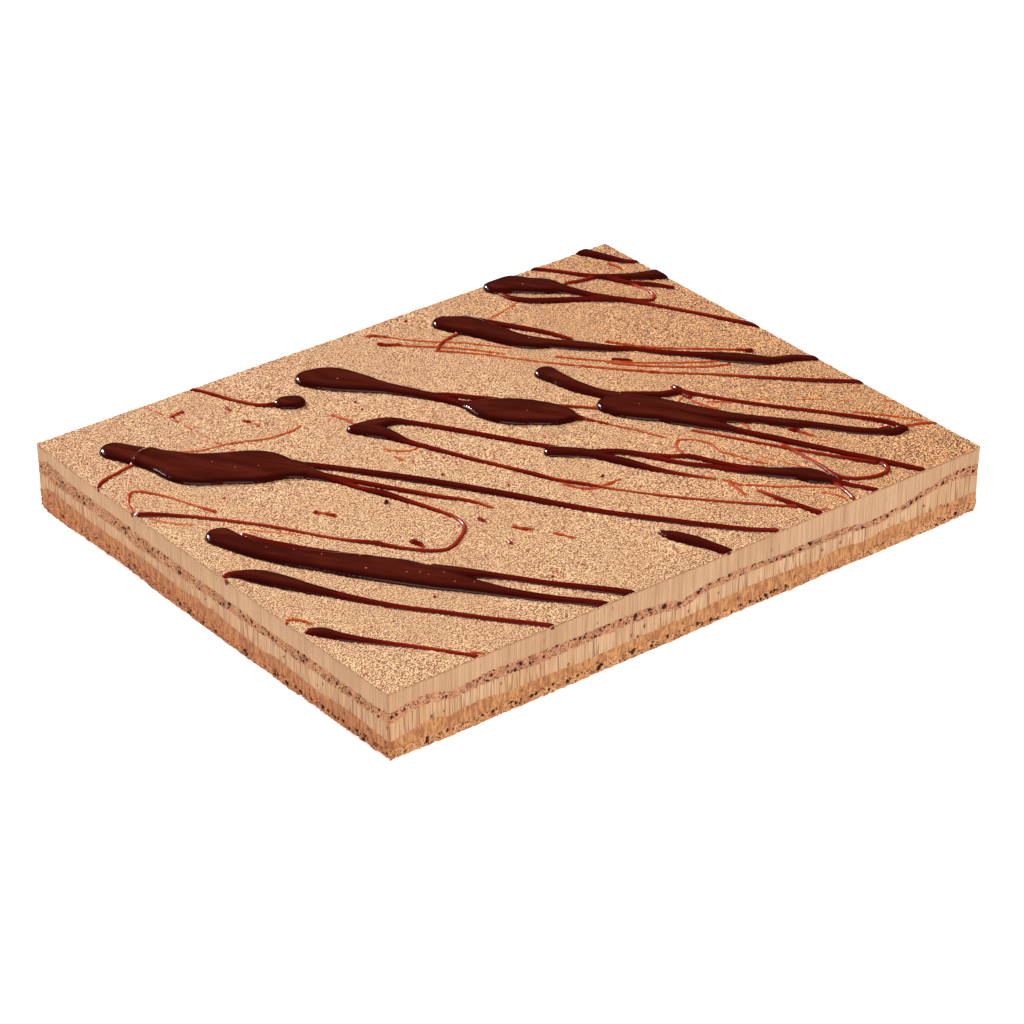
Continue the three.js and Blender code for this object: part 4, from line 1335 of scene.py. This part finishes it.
def build_pour(name, runs, material):
    """Lays a grid, keeps what lies under the runs, and lifts it to the height of the chocolate."""
    routes = [smooth_route(run, RUN_SPACING) for run in runs]
    columns, rows = round(LENGTH / COARSE) + 2, round(DEPTH / COARSE) + 2
    size = Matrix.Diagonal((columns * COARSE * MM / 2, rows * COARSE * MM / 2, 1, 1))
    bm = bmesh.new()
    bmesh.ops.create_grid(bm, x_segments=columns, y_segments=rows, size=1, matrix=size)
    keep_near(bm, routes, 1.2 * COARSE)
    bmesh.ops.subdivide_edges(bm, edges=bm.edges, cuts=FINER, use_grid_fill=True)
    keep_near(bm, routes, 0)
    cut_touching(bm)
    x, y = places(bm)
    edge = np.array([vert.is_boundary for vert in bm.verts])
    x[edge], y[edge] = drawn_to_outline(x[edge], y[edge], routes)
    gap, height, body = poured(x, y, routes)
    height = np.maximum(height, FILM * np.sqrt(np.clip(-gap, 0, 1)))
    height += folded(x, y) * np.clip(height, 0, 1)
    height[edge] = 0
    droop = DROOP * np.clip(past_side(x, y) + DROOP_FROM, 0, None) ** 2
    set_points(bm, np.column_stack([x, y, velvet_level(x, y) + height - droop]))
    crest = np.clip(height / (CREST_FROM * rise_of(body)).clip(0.1), 0, 1)
    # the colour depth carries the painted rim shade and the painted crest light
    set_layer(bm, "body", np.clip(body / THICKEST, 0, 1) * (PAINTED_RIM_SHADE - PAINTED_CREST_LIGHT * crest))
    # the flat middle of a pool gets the lighter top colour, a painted sheen
    set_layer(bm, "flat", np.clip((-gap - FLAT_FROM) / FLAT_OVER, 0, 1))
    close_below(bm, TOP - SUNK)
    return make_piece(bm, name, material, "chocolate", "mousse_top")


# %% [markdown]
# ## The look of the chocolate
# Thick ganache is a dark glossy brown. Where it is drawn out thin, light comes through and it turns
# red, and the faintest threads are orange. Real see-through chocolate would be slow and noisy to
# render, so the colour follows the width of the run that each point was poured from. Painted shade
# deepens it at the rims of a run and painted light makes it a little redder along the crest, and the
# flat tops of the pools are painted lighter than their rims, a painted sheen with a swirl of browns
# in it. The fainter threads and the drips are less glossy than the pools, so they get a second
# material from the same recipe.

# %% Chocolate material
FLOW = (0, 0, math.radians(56))  # the runs mostly lie this far round from the long side


def chocolate_material(name, shine):
    recipe = Recipe(name, Specular_IOR_Level=shine, Coat_Roughness=0.05, Coat_Weight=0.3 * shine)
    place = recipe.place()
    along_flow = recipe.node("ShaderNodeMapping", {}, {"Vector": place, "Rotation": FLOW})
    swirl = recipe.speckle(recipe.stretched(along_flow, (0.18, 1, 1)), 6, 2, 0.5, 0.8)
    depth = recipe.attribute("body") + (swirl - 0.5) * 0.08
    melted = recipe.ramp(
        depth,
        (0.02, tone(214, 112, 40)), (0.1, tone(184, 76, 30)), (0.17, tone(164, 52, 22)),
        (0.23, tone(134, 30, 12)), (0.3, tone(104, 16, 7)), (0.5, tone(68, 7, 4)),
        (1.0, tone(54, 7, 4)),
    )
    # painted sheen: the flat tops of the pools are lighter than their rims, with a swirl of browns
    lit_swirled_top = recipe.mix(recipe.between(swirl, 0.35, 0.7), tone(64, 15, 8), tone(84, 26, 15))
    return recipe.finish(
        Base_Color=recipe.mix(recipe.attribute("flat"), melted, lit_swirled_top),
        Roughness=recipe.between(depth, 0.26, 0.08) * 0.35 + 0.12,
        Normal=recipe.bump(recipe.speckle(place, 2.5, 2), 0.04),
    )


glaze = chocolate_material("chocolate_glaze", 0.5)
thin_glaze = chocolate_material("thin_chocolate", 0.2)

# %% [markdown]
# ## Three pours
# All the runs could be one piece, but at this fineness it would hold well over 200,000 triangles,
# which is more than one piece should. So they are poured in three lots from left to right, and where
# two lots meet they simply lie in one another.

# %% Three pours
build_pour("ganache_left", LEFT_RUNS, glaze)
build_pour("ganache_middle", MIDDLE_RUNS, glaze)
build_pour("ganache_right", RIGHT_RUNS, glaze)

# %% [markdown]
# ## Threads and splashes
# The spoon also let fall threads one to four millimetres wide, loops and stray drops. Some are so
# thin that they are orange. They are traced as the runs are, and sorted into three lists by how much
# light comes through: faint, warm and deep.

# %% Threads as traced
def even(half_width, *spots):
    """A thread of the same half-width all along."""
    return [(x, y, half_width) for x, y in spots]


FAINT_THREADS = [
    even(0.7, (4.1, 201.8), (7.1, 193.8), (12.1, 186.8), (17.1, 181.8)),
    even(0.7, (32.1, 164.8), (39.1, 156.8), (45.1, 149.8), (52.1, 140.8)),
    even(1.0, (52.1, 247.8), (59.1, 243.3), (67.1, 240.8), (74.1, 239.8), (81.1, 237.3),
         (89.1, 233.8), (96.1, 231.3), (104.1, 230.3), (111.1, 230.3), (117.1, 232.3)),
    even(1.2, (51.1, 4.8), (56.1, 0.5)),
    even(1.0, (135.6, 185.8), (138.1, 181.8), (142.1, 177.8), (146.1, 175.8), (150.1, 176.3)),
    even(1.1, (184.1, 103.8), (186.1, 97.8), (189.1, 91.8), (194.1, 88.3), (199.1, 87.8),
         (210.1, 87.8)),
    even(1.1, (255.1, 44.8), (261.1, 38.8), (267.1, 32.8), (274.1, 27.8), (280.1, 22.8),
         (289.1, 14.3)),
    even(0.9, (280.1, 15.8), (284.1, 8.8), (285.1, 1.8)),
    even(1.0, (264.1, 6.8), (268.1, 2.8), (272.1, 0.5)),
    even(0.8, (280.1, 61.8), (284.1, 53.8), (290.1, 40.8), (295.1, 28.8)),
    even(1.0, (297.1, 122.8), (302.1, 118.8), (307.1, 113.3)),
    even(0.7, (317.1, 111.8), (324.1, 103.8)),
    even(0.7, (335.1, 96.8), (347.1, 86.8)),
    even(0.6, (351.1, 81.8), (357.1, 77.8)),
    even(0.9, (369.1, 66.8), (374.5, 63.3)),
    even(0.8, (265.1, 266.8), (279.1, 269.8), (291.1, 272.8)),
    even(1.0, (250.1, 51.8), (249.6, 43.8), (248.6, 36.8)),
    even(1.1, (249.6, 55.8), (252.1, 48.8), (254.1, 44.8)),
    even(1.8, (348.1, 45.8), (353.1, 43.3)),
    even(0.5, (22.1, 109.8), (22.7, 109.4)),
]
WARM_THREADS = [
    [(0.4, 210.8, 0.9), (4.1, 220.8, 1), (11.1, 227.8, 1.1), (19.1, 218.8, 1), (28.1, 196.8, 0.9),
     (32.6, 185.8, 1.4)],
    [(69.1, 280.3, 1.5), (73.1, 281.8, 1.1), (77.6, 281.8, 1.5)],
    even(1.0, (0.4, 79.8), (1.1, 81.8), (4.1, 80.3), (6.6, 75.8), (8.1, 70.8)),
    even(0.9, (252.1, 88.8), (252.6, 93.8), (255.1, 97.8), (259.1, 100.3), (263.1, 97.8),
         (267.1, 92.8), (269.1, 86.8), (267.6, 78.8), (270.1, 71.8), (276.1, 56.8), (278.1, 53.8)),
    even(1.0, (135.6, 231.8), (137.1, 226.8), (139.1, 220.8), (139.1, 217.3)),
    even(1.0, (295.6, 95.8), (296.1, 90.8), (295.1, 86.8)),
    [(311.1, 74.8, 1.6), (313.1, 69.8, 1.5), (316.1, 59.8, 0.8)],
    even(0.6, (315.1, 56.8), (319.1, 51.8)),
    even(0.7, (282.1, 129.3), (287.1, 132.8), (291.1, 134.3)),
    even(0.9, (292.1, 128.8), (292.6, 122.8), (296.6, 112.8)),
    [(202.1, 291.8, 1.1), (206.1, 288.8, 1.3), (209.1, 285.8, 1.2), (213.1, 279.8, 0.8),
     (223.1, 267.8, 0.8), (237.1, 254.8, 0.8), (250.1, 238.8, 0.8), (255.1, 232.8, 0.7)],
    [(202.1, 280.8, 1.5), (204.1, 276.8, 1.5), (209.1, 273.8, 1.3), (213.1, 268.8, 1),
     (226.1, 256.8, 0.9), (237.1, 244.8, 0.9), (248.1, 229.8, 0.8)],
    [(221.1, 255.8, 1), (235.1, 240.8, 0.9), (257.1, 211.8, 0.9), (279.1, 184.8, 1),
     (299.1, 162.3, 1.2)],
    even(0.9, (267.1, 210.8), (279.1, 196.8), (294.1, 180.8), (309.1, 168.8), (324.1, 157.8),
         (331.1, 153.8)),
    even(1.0, (284.1, 188.8), (296.1, 174.8), (309.1, 162.8), (322.1, 152.8), (334.1, 146.8)),
    [(299.1, 207.8, 1.2), (312.1, 188.8, 1.1), (326.1, 175.8, 1), (339.1, 164.8, 1.1),
     (350.1, 154.8, 1.3), (353.1, 150.8, 2)],
    even(0.9, (349.1, 67.8), (354.1, 61.8), (359.1, 55.8), (364.1, 48.8), (371.1, 38.8)),
    even(1.1, (359.1, 40.8), (365.1, 37.8), (370.1, 35.8), (374.5, 32.3)),
    [(360.1, 279.8, 1.2), (361.1, 274.8, 1), (362.1, 269.8, 0.7)],
    [(91.1, 103.8, 1.6), (92.1, 98.8, 2), (92.6, 94.8, 1.2)],
    [(70.1, 155.8, 1.5), (73.1, 151.8, 1.1), (76.6, 145.8, 1.5)],
    even(1.2, (138.1, 83.8), (141.1, 78.8), (144.1, 75.8)),
    even(1.0, (150.1, 66.8), (153.1, 60.8), (155.1, 56.8)),
    even(0.8, (135.1, 176.8), (136.1, 169.8)),
    even(0.8, (205.1, 107.8), (205.6, 107.3)),
    even(1.0, (207.1, 144.8), (207.7, 144.3)),
    even(1.0, (43.1, 194.8), (43.7, 194.3)),
]
DEEP_THREADS = [
    [(236.1, 146.8, 1.2), (242.1, 134.8, 0.9), (249.1, 120.8, 0.8), (255.1, 106.8, 0.8)],
    [(274.1, 122.8, 2), (284.1, 107.8, 1.9), (291.1, 99.8, 1.7)],
    even(1.3, (289.1, 189.8), (296.1, 181.8)),
    even(0.5, (64.6, 298.8), (66.1, 292.8)),
    even(0.7, (66.7, 290.3), (68.1, 284.8)),
    even(0.8, (68.9, 280.8), (69.7, 273.8)),
    even(0.6, (70.1, 269.8), (70.7, 263.8)),
    even(0.6, (71.1, 259.8), (72, 248.8)),
    even(0.8, (72.5, 245.8), (73.7, 239.8)),
    even(0.5, (74.1, 236.8), (75.1, 229.8)),
    even(1.0, (97.6, 273.8), (97.6, 267.8)),
    even(0.8, (100.1, 264.8), (100.5, 264.4)),
    even(1.0, (96.6, 254.8), (98.6, 250.8)),
    even(0.8, (99.6, 248.8), (99.6, 244.8)),
    even(2.0, (103.6, 141.3), (104.1, 140.8)),
    even(1.3, (130.1, 100.8), (130.6, 95.8)),
    even(1.2, (128.1, 74.8), (127.6, 70.8)),
    even(1.2, (123.6, 34.8), (124.1, 34.2)),
    even(1.2, (68.1, 55.3), (68.6, 54.8)),
    even(0.8, (162.6, 190.8), (163.1, 190.3)),
    even(1.0, (142.6, 146.8), (143.1, 146.3)),
    even(1.2, (153.6, 235.8), (154.1, 235)),
    even(1.0, (151.6, 226.8), (152.1, 226.4)),
    even(1.4, (204.6, 95.8), (205.1, 95.2)),
    even(1.4, (229.1, 292.8), (229.7, 292.2)),
    even(0.8, (233.6, 280.8), (234.1, 280.4)),
    even(1.0, (162.1, 117.8), (162.5, 117.4)),
]

print(len(FAINT_THREADS), "faint,", len(WARM_THREADS), "warm and", len(DEEP_THREADS), "deep threads")

# %% [markdown]
# ## Rolling the threads
# A thread lies on the velvet and stands above it as a low round back. A Blender curve with a bevel
# would do, but it can't be flatter than it is wide. So each is a strip of grid rolled into a flat
# tube, the paper-collar trick again, with its ends drawn to a point and welded. Its width swells and
# thins a little, because chocolate beads up as it falls.

# %% Rolling the threads
SEGMENTS = 8  # flats round a thread
SPACING = 0.9  # mm between its stations
DEEPENING = 1.6  # how fast the colour of a thread deepens as it gets wider
BEADS = 0.3  # share by which its half-width swells and thins
BEAD_SIZE = 2.6  # mm
TIP = 0.8  # half-widths that its ends reach past the first and last station
SHOULDER = 0.85  # share of its half-width just before a tip
PROUD = 0.15  # share of its height that its middle stands above the velvet


def add_thread(bm, layer, stations, body, lift, seed):
    """Rolls one thread: `body` is how deep its colour is where it is 2 mm wide, and `lift` its
    height over its half-width."""
    route = smooth_route(stations, SPACING)
    ends = route[[0, -1]]
    length = np.linalg.norm(np.diff(route[:, :2], axis=0), axis=1).sum()
    way = np.gradient(route[:, :2], axis=0)
    way = way / np.linalg.norm(way, axis=1, keepdims=True)
    caps = ends[:, :2] + way[[0, -1]] * ends[:, 2:] * ((-TIP,), (TIP,))
    route = np.vstack([[*caps[0], ends[0, 2]], route, [*caps[1], ends[1, 2]]])
    way = way[[0, *range(len(way)), -1]]
    half = route[:, 2] * (1 + uneven(flat_points(*route[:, :2].T), (BEADS, BEAD_SIZE, seed)))
    half[[0, -1]] = 0
    half[[1, -2]] *= SHOULDER
    grid = bmesh.ops.create_grid(bm, x_segments=len(route) - 1, y_segments=SEGMENTS, size=1)["verts"]
    flat = np.array([vert.co for vert in grid])
    station = np.rint((flat[:, 0] + 1) / 2 * (len(route) - 1)).astype(int)
    turn = (flat[:, 1] + 1) * math.pi
    across = np.column_stack([-way[:, 1], way[:, 0]])[station]
    place = route[station, :2] + across * (half[station] * np.cos(turn))[:, None]
    middle = velvet_level(*route[:, :2].T)
    height = middle[station] + half[station] * lift * (np.sin(turn) + PROUD)
    for vert, point in zip(grid, in_metres(np.column_stack([place, height]))):
        vert.co = point
    for vert, share in zip(grid, body * half[station] ** DEEPENING):
        vert[layer] = share
    return length


def build_threads(name, threads, body, lift, material):
    bm = bmesh.new()
    layer = bm.verts.layers.float.new("body")
    total = sum(
        add_thread(bm, layer, stations, body, lift, 30 + number)
        for number, stations in enumerate(threads)
    )
    bmesh.ops.remove_doubles(bm, verts=bm.verts, dist=1e-6)
    print(f"{len(threads)} threads, {total:.0f} mm of chocolate in all")
    return make_piece(bm, name, material, "chocolate", "mousse_top")


build_threads("faint_threads", FAINT_THREADS, 0.11, 0.4, thin_glaze)
build_threads("warm_threads", WARM_THREADS, 0.125, 0.7, thin_glaze)
build_threads("deep_threads", DEEP_THREADS, 0.19, 0.85, glaze)

# %% [markdown]
# ## Small round things
# The last things are small and many: drips, bubbles, specks and crumbs. Each could be an object of
# its own, which would fill the outliner with hundreds. Instead each kind is one piece of little
# round bodies, icospheres with three radii, with 20 faces for those that come in hundreds.

# %% Small round things
def add_body(bm, spot, radii, detail, turn=0.0):
    """Adds a ball with three radii, in millimetres from the near corner."""
    size = Matrix.Diagonal([radius * MM for radius in radii]).to_4x4()
    there = Matrix.Translation(in_metres(spot)) @ Matrix.Rotation(turn, 4, "Z") @ size
    return bmesh.ops.create_icosphere(bm, subdivisions=detail, radius=1, matrix=there)["verts"]


def on_velvet(x, y):
    return float(velvet_level(np.array([x]), np.array([y]))[0])


def on_chocolate(x, y, routes):
    height = poured(np.array([x]), np.array([y]), routes)[1]
    return on_velvet(x, y) + float(height[0])


def build_bodies(name, bodies, detail, material, slot, node, body=0.0):
    """One piece of many balls, each as its place, its three radii and its turn."""
    bm = bmesh.new()
    layer = bm.verts.layers.float.new("body")
    for spot, radii, turn in bodies:
        for vert in add_body(bm, spot, radii, detail, turn):
            vert[layer] = body
    print(name, "holds", len(bodies))
    return make_piece(bm, name, material, slot, node)


# %% [markdown]
# ## Drips and bubbles
# In a few places the chocolate ran a millimetre or two down over the edge of a near side, and in the
# thick pools air bubbles stand in the surface. A drip is a ball drawn out downwards, and a bubble is
# a low one that sits in the surface of its pool.

# %% Drips and bubbles
DRIP_TOP = 0.6  # mm below the velvet where the middle of a drip would be before it runs
DRIP_HALF = 0.4  # mm, half its height then
DRIPS = [  # y on the short near side, half-width, and how far down it ran
    (129.8, 1.2, 2.4), (128.6, 0.9, 1.2), (211.3, 1.1, 1.8), (241.8, 0.9, 1.2), (79.8, 0.7, 0.8),
]
FRONT_DRIPS = [(96, 1.1, 1.2), (205.6, 1.4, 0.6)]  # the same on the long near side, by their x


def hanging(x, y, half_x, half_y, down):
    """A drip that has run down a cut side: its place, its three radii and its turn."""
    return (x, y, TOP - DRIP_TOP - 0.5 * down), (half_x, half_y, DRIP_HALF + 0.5 * down), 0


drips = [hanging(0, y, 0.5, half, down) for y, half, down in DRIPS]
drips += [hanging(x, 0, half, 0.4, down) for x, half, down in FRONT_DRIPS]
build_bodies("side_drips", drips, 3, thin_glaze, "chocolate", "mousse_top", 0.3)

BUBBLE_SUNK = 0.1  # mm that the middle of a bubble lies below the surface
FLAT = 0.6  # height of a bubble or speck over its width
BUBBLES = [  # x, y and radius
    (56.1, 92.8, 0.7), (74.1, 73.8, 0.6), (69.1, 77.8, 0.5), (81.1, 77.8, 0.6), (76.1, 69.8, 0.5),
    (83.1, 66.8, 0.5), (82.1, 56.8, 0.6), (61.1, 104.8, 0.6), (47.1, 116.8, 0.5),
    (63.1, 212.8, 0.6), (57.1, 224.8, 0.4), (73.1, 206.8, 0.4), (39.1, 128.8, 0.5),
    (30.1, 138.8, 0.4), (89.1, 50.8, 0.4), (159.1, 257.8, 0.6), (215.1, 168.8, 0.5),
    (265.1, 138.8, 0.5), (267.1, 232.8, 0.5), (304.1, 284.8, 0.6),
]
bubbles = [
    ((x, y, on_chocolate(x, y, all_routes) - BUBBLE_SUNK), (radius, radius, FLAT * radius), 0)
    for x, y, radius in BUBBLES
]
# the bubbles are painted lighter, in the colour of thin chocolate, as painted light coming through
# their thin skins
build_bodies("air_bubbles", bubbles, 2, glaze, "chocolate", "mousse_top", 0.14)

# %% [markdown]
# ## Specks and fallen crumbs
# Specks of cocoa sit in the velvet all over, and a few pale crumbs fell on it when the cake was cut.
# Nobody would miss one, so all but the largest crumb are strewn at random, from a fixed seed that
# strews them alike each time.

# %% Specks and fallen crumbs
dots = random.Random(41)


def anywhere(margin):
    """A place on the sheet away from its sides."""
    return dots.uniform(margin, LENGTH - margin), dots.uniform(margin, DEPTH - margin)


def plain(name, colour):
    """A matt finish with a little lighter and darker in it."""
    recipe = Recipe(name, Roughness=0.8)
    lump = recipe.speckle(recipe.place(), 0.6, 2)
    shade = tuple(0.6 * part for part in colour[:3]) + (1,)
    return recipe.finish(Base_Color=recipe.mix(recipe.between(lump, 0.35, 0.6), shade, colour))


COCOA_SPECKS = 380
SPECK_LIFT = 0.15  # mm from the velvet up to the middle of a speck
PALE_CRUMBS = 12
CRUMB_LIFT = 0.3  # mm, the same for a crumb
specks = []
for _ in range(COCOA_SPECKS):
    x, y = anywhere(3)
    radius = 0.16 + 0.26 * dots.random() ** 2
    radii = (radius, radius, FLAT * radius)
    specks.append(((x, y, on_velvet(x, y) + SPECK_LIFT), radii, dots.uniform(0, 3)))
build_bodies("cocoa_specks", specks, 1, plain("cocoa_speck", tone(130, 52, 30)), "velvet_mousse",
             "mousse_top")
crumbs = [((31, 44, on_velvet(31, 44) + 0.6), (0.9, 0.7, 0.6), 0.5)]
for _ in range(PALE_CRUMBS):
    x, y = anywhere(8)
    radius = dots.uniform(0.2, 0.4)
    radii = (radius, 0.8 * radius, 0.7 * radius)
    crumbs.append(((x, y, on_velvet(x, y) + CRUMB_LIFT), radii, dots.uniform(0, 3)))
build_bodies("pale_crumbs", crumbs, 1, plain("pale_crumb", tone(250, 236, 214)), "velvet_mousse",
             "mousse_top")

# %% [markdown]
# ## Crumbs along the base
# Where the base is torn, loose crumbs still hang on to it. They are strewn all the way round just
# above the torn edge, more of them low down, and each sits half in the face it clings to.

# %% Crumbs along the base
BASE_CRUMBS = 620
CRUMB_BAND = 4.2  # mm above the torn edge that they reach
clinging = []
for _ in range(BASE_CRUMBS):
    along = np.array([dots.uniform(0, ROUND_TRIP)])
    spot, out = rim_place(along)
    low = float(torn_edge(along)[0])
    height = low + CRUMB_BAND * dots.random() ** 1.6
    x, y = spot[0] - out[0] * dots.uniform(0.3, 0.9)
    radius = 0.25 + 0.5 * dots.random() ** 2
    squash = [radius * dots.uniform(0.7, 1.2) for _ in range(3)]
    clinging.append(((x, y, max(height, radius + 0.1)), squash, dots.uniform(0, 3)))
build_bodies("base_crumbs", clinging, 1, plain("loose_crumb", tone(222, 158, 104)), "base_crumb",
             "base_sponge")
